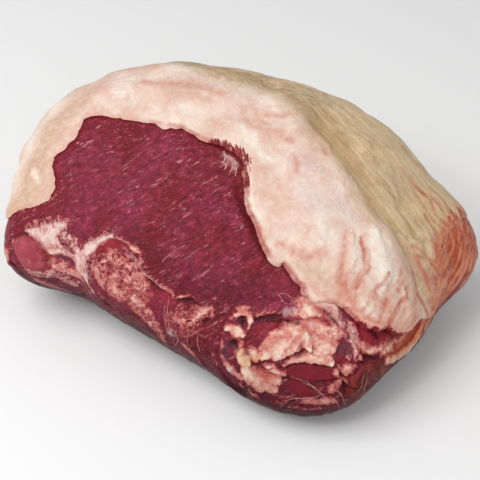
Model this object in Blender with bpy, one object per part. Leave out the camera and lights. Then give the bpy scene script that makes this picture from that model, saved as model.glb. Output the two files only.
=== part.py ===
"""Raw beef top round: one whole roast, lying with its fat side up. Metres, +Z up.

The origin is on the surface that the meat lies on, under the middle of its box. +X runs
along the roast, -Y is the side of the bare red face and +Y is the back.

The outer form is a smooth union of five muscle lobes, planed off by the sloping face and
by the surface underneath. Seen from HEART, every direction meets that form once, so each
skin here is a radius worked out for a whole sphere of directions at a time. The directions
nearest to the rim of the fat are moved onto it, so the bare meat, the fat's edge and the
fat all share one line of points.
"""

import bmesh
import bpy
import numpy as np
from mathutils import Vector
from mathutils.bvhtree import BVHTree

# ---------------------------------------------------------------- the outer form
# Each lobe: its middle, its half sizes, its turn about Z and its lift at +X, in degrees.
LOBES = (
    ((-0.006, -0.007, 0.065), (0.190, 0.120, 0.092), -7.5, 6.5),  # main muscle
    ((-0.096, -0.004, 0.078), (0.054, 0.132, 0.081), -20.0, 2.0),  # left end
    ((0.102, -0.092, 0.066), (0.071, 0.059, 0.066), -4.0, 0.0),  # right front
    ((0.123, 0.046, 0.065), (0.074, 0.054, 0.050), 0.0, 1.0),  # right back
    ((-0.017, 0.041, 0.096), (0.151, 0.085, 0.066), 11.0, -3.0),  # crest
)
LOBE_BLEND = 0.014
FACE_TURN, FACE_TILT = 9.0, 51.5  # the face looks towards -Y and up, in degrees
FACE_OFFSET = 0.12705  # from the origin to the plane of the face
FACE_BLEND = 0.013
REST_BLEND = 0.008
REST_FLAT = 0.0015  # what comes this near the table lies flat on it
HEART = np.array([0.0, 0.0, 0.072])
REACH = 0.30  # longer than any radius
HALVINGS = 34

# ---------------------------------------------------------------- the fat cap
# Places that its rim passes, from the left end over the bare face to the right end, and
# how thick the fat is there. After them comes the hidden hem, low along the back.
FAT_RIM = (
    ((-0.152, -0.104, 0.087), 0.0030),
    ((-0.143, -0.094, 0.101), 0.0030),
    ((-0.128, -0.078, 0.109), 0.0025),
    ((-0.131, -0.062, 0.125), 0.0025),
    ((-0.129, -0.046, 0.138), 0.0025),
    ((-0.120, -0.021, 0.150), 0.0030),
    ((-0.101, -0.017, 0.154), 0.0030),
    ((-0.067, -0.011, 0.154), 0.0030),
    ((-0.023, -0.008, 0.152), 0.0035),
    ((0.010, -0.012, 0.146), 0.0045),
    ((0.020, -0.020, 0.141), 0.0055),
    ((0.031, -0.033, 0.128), 0.0065),
    ((0.047, -0.050, 0.115), 0.0070),
    ((0.068, -0.064, 0.102), 0.0075),
    ((0.086, -0.069, 0.096), 0.0075),
    ((0.102, -0.076, 0.090), 0.0070),
    ((0.121, -0.073, 0.089), 0.0070),
    ((0.138, -0.075, 0.084), 0.0075),
    ((0.155, -0.075, 0.078), 0.0080),
    ((0.170, -0.062, 0.072), 0.0080),
    ((0.180, -0.034, 0.064), 0.0070),
    ((0.183, -0.014, 0.064), 0.0060),
    ((0.183, 0.000, 0.074), 0.0060),
    ((0.183, 0.015, 0.085), 0.0055),
    ((0.179, 0.034, 0.097), 0.0050),
    ((0.176, 0.052, 0.097), 0.0045),
    ((0.162, 0.080, 0.078), 0.0040),
    ((0.130, 0.110, 0.052), 0.0035),
    ((0.080, 0.125, 0.040), 0.0030),
    ((0.000, 0.130, 0.034), 0.0030),
    ((-0.080, 0.125, 0.038), 0.0030),
    ((-0.128, 0.080, 0.044), 0.0030),
    ((-0.152, 0.030, 0.054), 0.0030),
    ((-0.164, -0.030, 0.066), 0.0030),
    ((-0.162, -0.076, 0.076), 0.0030),
)
FAT_DEEP, FAT_FILLS = 0.011, 0.060  # thickness far from the rim, and how far it takes
FAT_SHOULDER = 0.35  # share of the rim's thickness that its round shoulder takes
SHOULDER_WIDTH = 0.009
GAP = 0.0005  # along the radius, so about 0.3 mm across
FACE_RISE = 0.032  # how far from the rim the bare meat takes to come up to the form
RELIEF_RISE = 0.010  # and how far from it the relief of meat and fat takes to begin

# The middle of the fat, as a bearing from +X and a height in degrees. Round it, the rim
# never turns back, so each bearing from here meets the rim once.
FAT_POLE = (122.0, 40.0)

# The fold that runs down the fat towards the right end, and its size.
FOLD = (
    (0.056, 0.049, 0.158),
    (0.078, 0.034, 0.151),
    (0.099, 0.022, 0.140),
    (0.118, 0.007, 0.127),
    (0.135, 0.001, 0.118),
    (0.149, -0.003, 0.108),
    (0.166, -0.011, 0.093),
    (0.176, -0.018, 0.078),
)
FOLD_DEPTH, FOLD_WIDTH, FOLD_LIPS = 0.0042, 0.008, 0.5

# Low swells of the fat: height, how steeply the waves climb, and each wave as its
# length, its turn in degrees and its phase.
FAT_SWELL, SWELL_CLIMB = 0.0009, 0.4
FAT_WAVES = ((0.052, 25.0, 0.3), (0.037, 110.0, 1.9), (0.071, 160.0, 4.1))

# ---------------------------------------------------------------- the bare meat
# Swells (+) and dips (-) of the bare meat: middle, radius and height.
MEAT_SWELLS = (
    ((-0.117, -0.116, 0.075), 0.017, 0.0045),  # small oval muscle at the left end
    ((-0.096, -0.109, 0.075), 0.010, -0.0045),  # crease on its right
    ((-0.136, -0.122, 0.069), 0.009, -0.0025),  # crease on its left
    ((-0.084, -0.112, 0.053), 0.014, -0.0030),
    ((-0.043, -0.106, 0.078), 0.028, 0.0035),  # pad with pale marbling
    ((0.015, -0.106, 0.074), 0.012, -0.0045),  # slit between the two pads
    ((0.024, -0.116, 0.061), 0.020, 0.0025),  # second pad
    ((-0.020, -0.119, 0.037), 0.022, -0.0020),
    ((0.116, -0.120, 0.050), 0.024, -0.0050),  # dark muscle inside the arch of fat
    ((0.166, -0.100, 0.047), 0.020, -0.0035),  # thin skin at the right front
)

# ---------------------------------------------------------------- the seam fat
# An arch of loose, lumpy fat low at the right front: its middle line and half width.
ARCH = (
    ((0.074, -0.133, 0.032), 0.012),
    ((0.067, -0.126, 0.047), 0.014),
    ((0.060, -0.116, 0.060), 0.012),
    ((0.066, -0.106, 0.068), 0.012),
    ((0.080, -0.101, 0.071), 0.015),
    ((0.096, -0.099, 0.071), 0.016),
    ((0.112, -0.096, 0.072), 0.015),
    ((0.127, -0.092, 0.073), 0.014),
    ((0.142, -0.094, 0.069), 0.010),
    ((0.153, -0.101, 0.060), 0.008),
    ((0.157, -0.110, 0.048), 0.007),
)
ARCH_BED, BED_HALF = 0.0050, 0.020  # the meat is lower under it, out to this far
ARCH_THICK, ARCH_EDGE = 0.0064, 0.0016
ARCH_CLEAR = 0.0013
ARCH_TIP = 0.35  # how much of its width and height is left at its two ends
ARCH_LUMPS = 0.0016
# Waves along it: length, slant and phase.
LUMP_WAVES = ((0.031, 0.0, 0.4), (0.019, 1.3, 2.2), (0.045, -0.8, 5.0))

# ---------------------------------------------------------------- how fine the grid is
SPHERE_CUTS = 5  # times that each side of an icosahedron is cut: 5120 triangles
SPHERE_STRETCH = np.array([1.0, 0.70, 0.50])  # spreads them evenly over so long a body
ARCH_ROWS, ARCH_COLUMNS = 40, 9
SPLINE_STEPS = 24

MEAT_RED = (0.27, 0.045, 0.06, 1.0)
FAT_CREAM = (0.85, 0.62, 0.48, 1.0)
SEAM_PINK = (0.72, 0.38, 0.30, 1.0)


def unit(v):
    """The same vectors, one long."""
    return v / np.linalg.norm(v, axis=-1, keepdims=True)


def dot(a, b):
    return np.sum(a * b, axis=-1)


def bearing(degrees_round, degrees_up):
    """The direction at a bearing from +X and a height above the level."""
    a, b = np.radians(degrees_round), np.radians(degrees_up)
    return np.array([np.cos(a) * np.cos(b), np.sin(a) * np.cos(b), np.sin(b)])


FACE_NORMAL = bearing(FACE_TURN - 90.0, FACE_TILT)
POLE = bearing(*FAT_POLE)


def lobe_distance(p, middle, half, turn, lift):
    """About how far p is outside an ellipsoid: k0 (k0 - 1) / k1, with k0 its scaled
    length and k1 the length of its gradient."""
    a, b = np.radians(turn), np.radians(lift)
    q = p - np.array(middle)
    x = q[..., 0] * np.cos(a) + q[..., 1] * np.sin(a)
    y = q[..., 1] * np.cos(a) - q[..., 0] * np.sin(a)
    q = np.stack([x * np.cos(b) - q[..., 2] * np.sin(b), y, x * np.sin(b) + q[..., 2] * np.cos(b)], -1)
    k0 = np.linalg.norm(q / half, axis=-1)
    k1 = np.linalg.norm(q / np.square(half), axis=-1)
    return k0 * (k0 - 1.0) / np.maximum(k1, 1e-9)


def smooth_least(values, blend):
    """The least of several arrays, rounded over blend where two of them meet."""
    least = np.min(values, axis=0)
    return least - blend * np.log(np.sum(np.exp((least - values) / blend), axis=0))


def form_distance(p):
    """Negative inside the form: lobes joined, then planed by the face and the table."""
    lobes = np.stack([lobe_distance(p, *lobe) for lobe in LOBES])
    body = smooth_least(lobes, LOBE_BLEND)
    face = dot(p, FACE_NORMAL) - FACE_OFFSET
    body = -smooth_least(np.stack([-body, -face]), FACE_BLEND)
    return -smooth_least(np.stack([-body, p[..., 2]]), REST_BLEND)


def form_radius(d):
    """From HEART along each direction to the form, by halving the stretch."""
    near, far = np.zeros(d.shape[:-1]), np.full(d.shape[:-1], REACH)
    for _ in range(HALVINGS):
        middle = (near + far) / 2.0
        inside = form_distance(HEART + d * middle[..., None]) < 0.0
        near, far = np.where(inside, middle, near), np.where(inside, far, middle)
    return (near + far) / 2.0


def points_at(d, radius):
    """Places on directions d, with what nearly touches the table laid flat on it."""
    p = HEART + d * radius[..., None]
    p[..., 2] = np.where(p[..., 2] < REST_FLAT, 0.0, p[..., 2])
    return p


def spline(knots, steps, closed=False):
    """A smooth curve through the knots: cubic pieces whose slopes come from the
    neighbours on both sides. Knots may carry further columns."""
    k = np.array(knots)
    k = np.vstack([k[-1:], k, k[:2]]) if closed else np.vstack([2 * k[0] - k[1], k, 2 * k[-1] - k[-2]])
    gap = np.linalg.norm(np.diff(k[:, :3], axis=0), axis=1)
    slope = (k[2:] - k[:-2]) / (gap[1:] + gap[:-1])[:, None]
    t = np.linspace(0.0, 1.0, steps, endpoint=False)[None, :, None]
    start, end, length = k[1:-2, None], k[2:-1, None], gap[1:-1, None, None]
    curve = (
        start * (2 * t**3 - 3 * t**2 + 1)
        + end * (3 * t**2 - 2 * t**3)
        + slope[:-1, None] * length * (t**3 - 2 * t**2 + t)
        + slope[1:, None] * length * (t**3 - t**2)
    )
    curve = curve.reshape(-1, k.shape[1])
    return curve if closed else np.vstack([curve, k[-2]])


def far_from_line(p, line):
    """The distance from each point to the nearest point of a fine line."""
    return np.min(np.linalg.norm(p[..., None, :] - line, axis=-1), axis=-1)


def round_pole(d):
    """Each direction's turn round the fat's pole, and its angle from it."""
    east = unit(np.cross((0.0, 0.0, 1.0), POLE))
    turn = np.arctan2(dot(d, np.cross(POLE, east)), dot(d, east))
    return turn, np.arccos(np.clip(dot(d, POLE), -1.0, 1.0))


class Rim:
    """The line where the fat ends."""

    def __init__(self, places):
        curve = spline([(*place, thick) for place, thick in places], SPLINE_STEPS, closed=True)
        self.line = unit(curve[:, :3] - HEART)
        self.reach = np.linalg.norm(curve[:, :3] - HEART, axis=1)
        self.thick = curve[:, 3]
        self.turn, self.angle = round_pole(self.line)

    def inside(self, d):
        """How much further than d the rim is from the pole: positive in the fat."""
        turn, angle = round_pole(d)
        return np.interp(turn, self.turn, self.angle, period=2 * np.pi) - angle

    def nearest(self, d):
        """The distance to the rim along the skin, and the fat's thickness there."""
        near = np.argmax(d @ self.line.T, axis=-1)
        apart = np.arccos(np.clip(dot(d, self.line[near]), -1.0, 1.0))
        return apart * self.reach[near], self.thick[near]


def snapped(d, edges, level):
    """Moves the nearer end of each edge that crosses level 0 to where it crosses.
    Returns the directions, and which of them are on the line."""
    a, b = edges[(level(d)[edges] > 0).sum(axis=1) == 1].T
    low, high, begins = np.zeros(len(a)), np.ones(len(a)), level(d[a]) > 0
    for _ in range(HALVINGS):
        share = (low + high) / 2.0
        before = (level(unit(d[a] + share[:, None] * (d[b] - d[a]))) > 0) == begins
        low, high = np.where(before, share, low), np.where(before, high, share)
    crossing = unit(d[a] + low[:, None] * (d[b] - d[a]))
    order = np.argsort(-np.minimum(low, 1.0 - low))
    mover = np.where(low < 0.5, a, b)[order]
    moved, on_line = d.copy(), np.zeros(len(d), bool)
    moved[mover] = crossing[order]
    on_line[mover] = True
    return moved, on_line


def sphere():
    """An icosphere's points as directions, stretched as the meat is, and its triangles."""
    ball = bmesh.new()
    bmesh.ops.create_icosphere(ball, subdivisions=SPHERE_CUTS, radius=1.0)
    points = np.array([v.co for v in ball.verts])
    edges = np.array([[v.index for v in e.verts] for e in ball.edges])
    faces = np.array([[v.index for v in f.verts] for f in ball.faces])
    ball.free()
    return unit(points * SPHERE_STRETCH), edges, faces


def fat_thickness(far, thick):
    """From the rim's thickness to FAT_DEEP, most of it over FAT_FILLS."""
    return thick + (FAT_DEEP - thick) * (1.0 - np.exp(-far / FAT_FILLS))


def fat_relief(p):
    """Low swells, and the fold: a trough with a soft lip on either side."""
    swell = 0.0
    for length, turn, phase in FAT_WAVES:
        way = np.array([np.cos(np.radians(turn)), np.sin(np.radians(turn)), SWELL_CLIMB])
        swell = swell + np.sin(2 * np.pi * dot(p, way) / length + phase)
    off = np.square(far_from_line(p, spline(FOLD, SPLINE_STEPS)) / FOLD_WIDTH)
    return FAT_SWELL * swell + FOLD_DEPTH * (FOLD_LIPS * off - 1.0) * np.exp(-off / 2.0)


def meat_relief(p):
    """Round swells and dips, and the bed that the arch of seam fat lies in."""
    relief = 0.0
    for middle, radius, height in MEAT_SWELLS:
        relief = relief + height * np.exp(-dot(p - middle, p - middle) / radius**2)
    off = far_from_line(p, spline([place for place, _ in ARCH], SPLINE_STEPS))
    return relief - ARCH_BED * np.exp(-((off / BED_HALF) ** 4))


def grid_faces(number):
    """Two triangles for each cell of a grid of point numbers that closes round."""
    number = np.hstack([number, number[:, :1]])
    a, b, c, d = number[:-1, :-1], number[:-1, 1:], number[1:, :-1], number[1:, 1:]
    return np.concatenate([np.stack([a, c, d], -1).reshape(-1, 3), np.stack([a, d, b], -1).reshape(-1, 3)])


def fan_faces(tip, ring):
    """Triangles from one point to a closed ring, turned as a grid that starts there."""
    after = np.roll(ring, -1)
    return np.stack([np.full(len(ring), tip), ring, after], -1)


def solid(name, points, faces, colour, roughness):
    """A mesh object with its own plain material, its faces turned outwards."""
    mesh = bpy.data.meshes.new(name)
    corners = points[faces]
    volume = np.sum(corners[:, 0] * np.cross(corners[:, 1], corners[:, 2]))
    outward = faces if volume > 0 else faces[:, ::-1]
    mesh.from_pydata(points.tolist(), [], outward.tolist())
    mesh.shade_smooth()
    material = bpy.data.materials.new(name)
    material.use_nodes = True
    shader = material.node_tree.nodes["Principled BSDF"]
    shader.inputs["Base Color"].default_value = colour
    shader.inputs["Roughness"].default_value = roughness
    mesh.materials.append(material)
    thing = bpy.data.objects.new(name, mesh)
    bpy.context.scene.collection.objects.link(thing)
    return thing


def meat_radius(d, rim):
    """The meat: under the fat it is sunk by the fat's thickness, and past the rim it
    rises again to the form, where it has its own relief."""
    form = form_radius(d)
    far, thick = rim.nearest(d)
    fat = rim.inside(d) > 0
    sink = np.where(fat, fat_thickness(far, thick) + GAP, (thick + GAP) * np.exp(-far / FACE_RISE))
    relief = meat_relief(HEART + d * form[..., None]) * (1.0 - np.exp(-far / RELIEF_RISE))
    return form - sink + np.where(fat, 0.0, relief)


def make_lean_meat(d, faces, rim):
    """The meat, in one piece under the fat and out to the bare face."""
    return solid("lean_meat", points_at(d, meat_radius(d, rim)), faces, MEAT_RED, 0.45)


def make_fat_cap(d, faces, rim):
    """The fat: its skin with a round shoulder at the rim, its underside that follows the
    meat, and the edge between them."""
    used, faces = np.unique(faces, return_inverse=True)
    faces = faces.reshape(-1, 3)
    d = d[used]
    form = form_radius(d)
    far, thick = rim.nearest(d)
    shoulder = FAT_SHOULDER * thick * np.square(np.clip(1.0 - far / SHOULDER_WIDTH, 0.0, 1.0))
    relief = fat_relief(HEART + d * form[..., None]) * (1.0 - np.exp(-far / RELIEF_RISE))
    skin = points_at(d, form - shoulder + relief)
    underside = points_at(d, meat_radius(d, rim) + GAP)
    sides = np.concatenate([faces[:, [0, 1]], faces[:, [1, 2]], faces[:, [2, 0]]])
    _, place, count = np.unique(np.sort(sides, axis=1), axis=0, return_index=True, return_counts=True)
    a, b = sides[place[count == 1]].T
    n = len(d)
    edge = np.concatenate([np.stack([b, a, a + n], -1), np.stack([b, a + n, b + n], -1)])
    faces = np.vstack([faces, faces[:, ::-1] + n, edge])
    return solid("fat_cap", np.vstack([skin, underside]), faces, FAT_CREAM, 0.5)


def make_seam_fat(meat):
    """The arch: a lumpy band whose underside lies on the meat. Across it, the height
    goes as a half circle from one edge to the other."""
    line = spline([(*place, half) for place, half in ARCH], SPLINE_STEPS)
    along = np.append(0.0, np.cumsum(np.linalg.norm(np.diff(line[:, :3], axis=0), axis=1)))
    wanted = np.linspace(0.0, along[-1], ARCH_ROWS)
    line = np.stack([np.interp(wanted, along, column) for column in line.T], axis=1)
    middle, half = line[:, :3], line[:, 3]
    ahead = unit(np.gradient(middle, axis=0))
    aside = unit(np.cross(ahead, unit(middle - HEART)))
    across = np.linspace(-1.0, 1.0, ARCH_COLUMNS + 1)
    end = np.maximum(np.sqrt(1.0 - (2.0 * wanted / along[-1] - 1.0) ** 8), ARCH_TIP)
    place = middle[:, None] + aside[:, None] * (across[None, :, None] * (half * end)[:, None, None])
    d = unit(place - HEART)
    corners = [v.co for v in meat.data.vertices]
    tree = BVHTree.FromPolygons(corners, [tuple(f.vertices) for f in meat.data.polygons])
    on_meat = np.array([[tree.ray_cast(Vector(HEART), Vector(v))[3] for v in row] for row in d])
    lump = 0.0
    for length, slant, phase in LUMP_WAVES:
        lump = lump + np.sin(2 * np.pi * wanted[:, None] / length + slant * across[None] + phase)
    crown = np.sqrt(1.0 - np.square(across))[None] * end[:, None]
    thick = ARCH_EDGE + (ARCH_THICK - ARCH_EDGE + ARCH_LUMPS * lump) * crown
    low = HEART + d * (on_meat + ARCH_CLEAR)[..., None]
    high = HEART + d * (on_meat + ARCH_CLEAR + thick)[..., None]
    loop = np.concatenate([high, low[:, ::-1]], axis=1)
    number = np.arange(loop.shape[0] * loop.shape[1]).reshape(loop.shape[:2])
    points = np.vstack([loop.reshape(-1, 3), loop[0].mean(axis=0), loop[-1].mean(axis=0)])
    faces = np.concatenate([
        fan_faces(number.size, number[0]),
        grid_faces(number),
        fan_faces(number.size + 1, number[-1])[:, ::-1],
    ])
    return solid("seam_fat", points, faces, SEAM_PINK, 0.45)


for old in list(bpy.data.objects):
    bpy.data.objects.remove(old, do_unlink=True)
fat_edge = Rim(FAT_RIM)
directions, edges, triangles = sphere()
directions, on_rim = snapped(directions, edges, fat_edge.inside)
under_fat = ((fat_edge.inside(directions) > 0) & ~on_rim)[triangles].any(axis=1)
lean_meat = make_lean_meat(directions, triangles, fat_edge)
make_fat_cap(directions, triangles[under_fat], fat_edge)
make_seam_fat(lean_meat)
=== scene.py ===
# %% [markdown]
# # A whole raw beef top round
#
# The packed solids give this roast its true form and size. Here every skin that shows is
# made again as a fine surface in exactly that place, and gets its finish. All lengths are
# in metres. +X runs along the roast, -Y is the side of the bare red face, +Z is up.

import bpy
import numpy as np
from mathutils import Matrix, Vector
from mathutils.bvhtree import BVHTree


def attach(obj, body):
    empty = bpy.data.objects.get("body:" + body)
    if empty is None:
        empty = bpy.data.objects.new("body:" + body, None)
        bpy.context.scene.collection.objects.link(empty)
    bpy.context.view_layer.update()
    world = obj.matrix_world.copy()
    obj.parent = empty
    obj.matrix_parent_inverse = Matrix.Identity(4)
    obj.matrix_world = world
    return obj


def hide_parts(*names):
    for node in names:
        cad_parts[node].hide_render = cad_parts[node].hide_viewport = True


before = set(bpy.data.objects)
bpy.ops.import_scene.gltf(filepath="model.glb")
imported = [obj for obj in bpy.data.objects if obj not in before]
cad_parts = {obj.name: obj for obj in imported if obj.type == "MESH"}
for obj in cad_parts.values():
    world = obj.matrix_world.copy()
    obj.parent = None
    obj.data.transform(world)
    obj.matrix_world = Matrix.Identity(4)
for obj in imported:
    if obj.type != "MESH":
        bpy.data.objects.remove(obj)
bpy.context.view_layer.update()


print("packed nodes:", sorted(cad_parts))

# %% [markdown]
# ## The camera
#
# A camera comes first, because many small marks of the meat are placed by where they lie
# in its picture. It looks down on the front right side through a long lens, which keeps
# the near end from looking larger than the far one.

# %% The camera
PICTURE = 480  # pixels, both ways
AZIMUTH, ELEVATION = np.radians(27.0), np.radians(42.0)
LENS_MM, SENSOR_MM = 85.0, 36.0
AIM, AWAY = np.array([0.018, -0.020, 0.070]), 0.930
FOCAL = LENS_MM / SENSOR_MM * PICTURE
PIXEL = AWAY / FOCAL  # what one pixel spans on the meat

BACK = np.array([
    np.sin(AZIMUTH) * np.cos(ELEVATION), -np.cos(AZIMUTH) * np.cos(ELEVATION), np.sin(ELEVATION)
])
RIGHT = np.array([np.cos(AZIMUTH), np.sin(AZIMUTH), 0.0])
UPWARD = np.cross(BACK, RIGHT)
EYE = AIM + AWAY * BACK

camera = bpy.data.objects.new("camera", bpy.data.cameras.new("camera"))
camera.data.lens, camera.data.sensor_width = LENS_MM, SENSOR_MM
turned = Matrix(np.stack([RIGHT, UPWARD, BACK], 1).tolist()).to_4x4()
camera.matrix_world = Matrix.Translation(EYE) @ turned
bpy.context.scene.collection.objects.link(camera)
bpy.context.scene.camera = camera
print(f"one pixel spans {1000 * PIXEL:.2f} mm")

# %% [markdown]
# ## The form
#
# A top round is a few muscles grown together. Each is taken as an ellipsoid, and a smooth
# union joins them. The knife's sloping face and the table plane the sum. A function that
# says how far a point is outside describes all of this without a single triangle.

# %% The form
# Each lobe: its middle, its half sizes, its turn about Z and its lift at +X, in degrees.
LOBES = (
    ((-0.006, -0.007, 0.065), (0.190, 0.120, 0.092), -7.5, 6.5),  # main muscle
    ((-0.096, -0.004, 0.078), (0.054, 0.132, 0.081), -20.0, 2.0),  # left end
    ((0.102, -0.092, 0.066), (0.071, 0.059, 0.066), -4.0, 0.0),  # right front
    ((0.123, 0.046, 0.065), (0.074, 0.054, 0.050), 0.0, 1.0),  # right back
    ((-0.017, 0.041, 0.096), (0.151, 0.085, 0.066), 11.0, -3.0),  # crest
)
LOBE_BLEND = 0.014
FACE_TURN, FACE_TILT = 9.0, 51.5  # the face looks towards -Y and up, in degrees
FACE_OFFSET = 0.12705  # from the origin to the plane of the face
FACE_BLEND = 0.013
REST_BLEND = 0.008
HEART = np.array([0.0, 0.0, 0.072])


def unit(v):
    """The same vectors, one long."""
    return v / np.linalg.norm(v, axis=-1, keepdims=True)


def dot(a, b):
    return np.sum(a * b, axis=-1)


def bearing(degrees_round, degrees_up):
    """The direction at a bearing from +X and a height above the level."""
    a, b = np.radians(degrees_round), np.radians(degrees_up)
    return np.array([np.cos(a) * np.cos(b), np.sin(a) * np.cos(b), np.sin(b)])


def lobe_distance(p, middle, half, turn, lift):
    """About how far p is outside an ellipsoid: k0 (k0 - 1) / k1, with k0 its scaled
    length and k1 the length of its gradient."""
    a, b = np.radians(turn), np.radians(lift)
    q = p - np.array(middle)
    x = q[..., 0] * np.cos(a) + q[..., 1] * np.sin(a)
    y = q[..., 1] * np.cos(a) - q[..., 0] * np.sin(a)
    q = np.stack([x * np.cos(b) - q[..., 2] * np.sin(b), y, x * np.sin(b) + q[..., 2] * np.cos(b)], -1)
    k0 = np.linalg.norm(q / half, axis=-1)
    k1 = np.linalg.norm(q / np.square(half), axis=-1)
    return k0 * (k0 - 1.0) / np.maximum(k1, 1e-9)


def smooth_least(values, blend):
    """The least of several arrays, rounded over blend where two of them meet."""
    least = np.min(values, axis=0)
    return least - blend * np.log(np.sum(np.exp((least - values) / blend), axis=0))


FACE_NORMAL = bearing(FACE_TURN - 90.0, FACE_TILT)


def form_distance(p):
    """Negative inside the form: lobes joined, then planed by the face and the table."""
    lobes = np.stack([lobe_distance(p, *lobe) for lobe in LOBES])
    body = smooth_least(lobes, LOBE_BLEND)
    face = dot(p, FACE_NORMAL) - FACE_OFFSET
    body = -smooth_least(np.stack([-body, -face]), FACE_BLEND)
    return -smooth_least(np.stack([-body, p[..., 2]]), REST_BLEND)


print(f"the heart lies {-1000 * form_distance(HEART):.0f} mm deep")

# %% [markdown]
# ## Reaching the skin
#
# Seen from a point in its heart every direction meets this form once, so the whole skin is
# one radius as a function of direction. Halving finds it: a stretch that starts inside and
# ends outside is cut in two again and again, for whole arrays at a time. The same trick
# finds where the eye's ray through a pixel meets the meat.

# %% Halving
REACH = 0.30  # longer than any radius
HALVINGS = 26
REST_FLAT = 0.0015  # what comes this near the table lies flat on it
LOOK_FROM, LOOK_TO, LOOK_STEPS = 0.66, 1.20, 220  # the stretch of the eye's rays, and its steps


def halved(near, far, before):
    """Closes in on the length at which before(length) turns from true to false."""
    for _ in range(HALVINGS):
        middle = (near + far) / 2.0
        keep = before(middle)
        near, far = np.where(keep, middle, near), np.where(keep, far, middle)
    return near, far


def form_radius(d):
    """From HEART along each direction to the form."""
    none, all_of_it = np.zeros(d.shape[:-1]), np.full(d.shape[:-1], REACH)
    near, far = halved(none, all_of_it, lambda at: form_distance(HEART + d * at[..., None]) < 0.0)
    return (near + far) / 2.0


def points_at(d, radius):
    """Places on directions d, with what nearly touches the table laid flat on it."""
    p = HEART + d * radius[..., None]
    p[..., 2] = np.where(p[..., 2] < REST_FLAT, 0.0, p[..., 2])
    return p


def lifted(pixels):
    """Where the eye's ray through each pixel first meets the form: the first of many even
    steps that is inside, then halving between it and the step before. A ray that passes
    by takes the step that is nearest."""
    x, y = np.array(pixels, float).T - (PICTURE - 1) / 2.0
    ray = unit(RIGHT * x[:, None] - UPWARD * y[:, None] - BACK * FOCAL)
    steps = np.linspace(LOOK_FROM, LOOK_TO, LOOK_STEPS)
    outside = form_distance(EYE + ray[:, None] * steps[:, None])
    hit = outside < 0.0
    first = np.where(hit.any(axis=1), np.argmax(hit, axis=1), np.argmin(outside, axis=1))
    near, far = steps[np.maximum(first - 1, 0)], steps[first]
    near, far = halved(near, far, lambda at: form_distance(EYE + ray * at[:, None]) >= 0.0)
    return EYE + ray * far[:, None]


print("middle of the picture lies on the form at", lifted([(240, 240)])[0].round(3))

# %% [markdown]
# ## Unevenness
#
# Nothing on meat is straight or even. Gradient noise gives every line its wobble: space is
# cut into cubes, each corner holds a random slope from a shuffled table, and a point's
# value fades between the eight corners round it. The table is drawn once from a seed, so
# each run gives the same meat.

# %% Noise
chance = np.random.default_rng(23)
SHUFFLE = chance.permutation(256)
SLOPES = unit(chance.normal(size=(256, 3)))
LAYER_SHIFT = 7.3  # keeps the layers of noise from lining up


def waviness(p, size, shift=0.0):
    """Smooth noise of about -0.7 to 0.7: at each corner of a cube of the given size stands
    the dot product of its slope and the way to the point, and the eight are faded by
    6 t^5 - 15 t^4 + 10 t^3 along each side."""
    q = p / size + shift
    cell = np.floor(q).astype(int)
    within = q - cell
    fade = within**3 * (within * (within * 6.0 - 15.0) + 10.0)
    total = 0.0
    for corner in np.ndindex(2, 2, 2):
        x, y, z = np.moveaxis((cell + corner) & 255, -1, 0)
        slope = SLOPES[SHUFFLE[(SHUFFLE[(SHUFFLE[x] + y) & 255] + z) & 255]]
        share = np.prod(np.where(corner, fade, 1.0 - fade), axis=-1)
        total = total + share * dot(slope, within - corner)
    return total


def layered(p, size, layers, shift=0.0):
    """Noise of one size plus half as much of half the size, and so on."""
    return sum(waviness(p, size / 2**k, shift + LAYER_SHIFT * k) / 2**k for k in range(layers))


print(f"noise of 1 cm at the heart: {waviness(HEART, 0.01):.2f}")

# %% [markdown]
# ## Where the fat ends
#
# The fat cap ends in a line that a butcher's knife and the muscle's own seam have drawn.
# Most of it shows in the picture, and the rest goes on round the back at a likely height.

# %% The rim's places
# Where the picture shows the rim: x and y in pixels, and how thick the fat is there in mm.
# Lines through the picture are written as in SVG, with commas inside a place and a space
# after it.
RIM_SEEN = """
    4,218,3 12,212,3 21,207,3 32,205,2.6 42,201,2.5 49,195,2.5 52,187,2.5 51,173,2.5 50,160,2.5
    60,149,2.5 71,138,2.6 78,126,3 84,115,3 97,113,3 112,114.5,3 132,118,3 148,119.5,3 155,121,3
    161,124.5,3.2 180,125,3.4 190,130,3.5 201,136.5,3.8 213,140,4 224,143,4.2 233,148,4.6
    241,153,4.8 246,160,5 244.5,169,5.4 245.5,181,5.8 247,191,6 247,200,6.2 250,212,6.5
    257.5,224,6.8 261.5,237,7 268,252,7 273.5,262,7 280,266,6.5 285,263,5.5 290,270,6.5 298,281,7
    305,287,7 305,295,6.5 313,302,6 323,303,5.5 333,303,5.5 341,305,6 348,309,6.5 355,315,7
    363,325,7.5 374,331,8 384,334,7.5 389,329,7 394,334,7.5 403,336,7.5 412,332,6.5 419,324,5
    425,319,3 432,316,1.6 438,304,0.6 444,290,0.3 449,275,0.15 449,262,0.15 446,250,0.15
    447,238,0.15 453,228,0.15 462,219,0.15
"""
# Where it doesn't: places in metres, and the thickness.
RIM_HIDDEN = (
    ((0.162, 0.080, 0.078), 0.0016),
    ((0.130, 0.110, 0.052), 0.0035),
    ((0.080, 0.125, 0.040), 0.0030),
    ((0.000, 0.130, 0.034), 0.0030),
    ((-0.080, 0.125, 0.038), 0.0030),
    ((-0.128, 0.080, 0.044), 0.0030),
    ((-0.152, 0.030, 0.054), 0.0030),
    ((-0.164, -0.030, 0.066), 0.0030),
    ((-0.164, -0.076, 0.076), 0.0030),
)


def numbers(places):
    """The places of such a line, each a row of numbers."""
    return np.array([place.split(",") for place in places.split()], float)


print(len(numbers(RIM_SEEN)), "places of the rim show,", len(RIM_HIDDEN), "are hidden")

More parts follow.
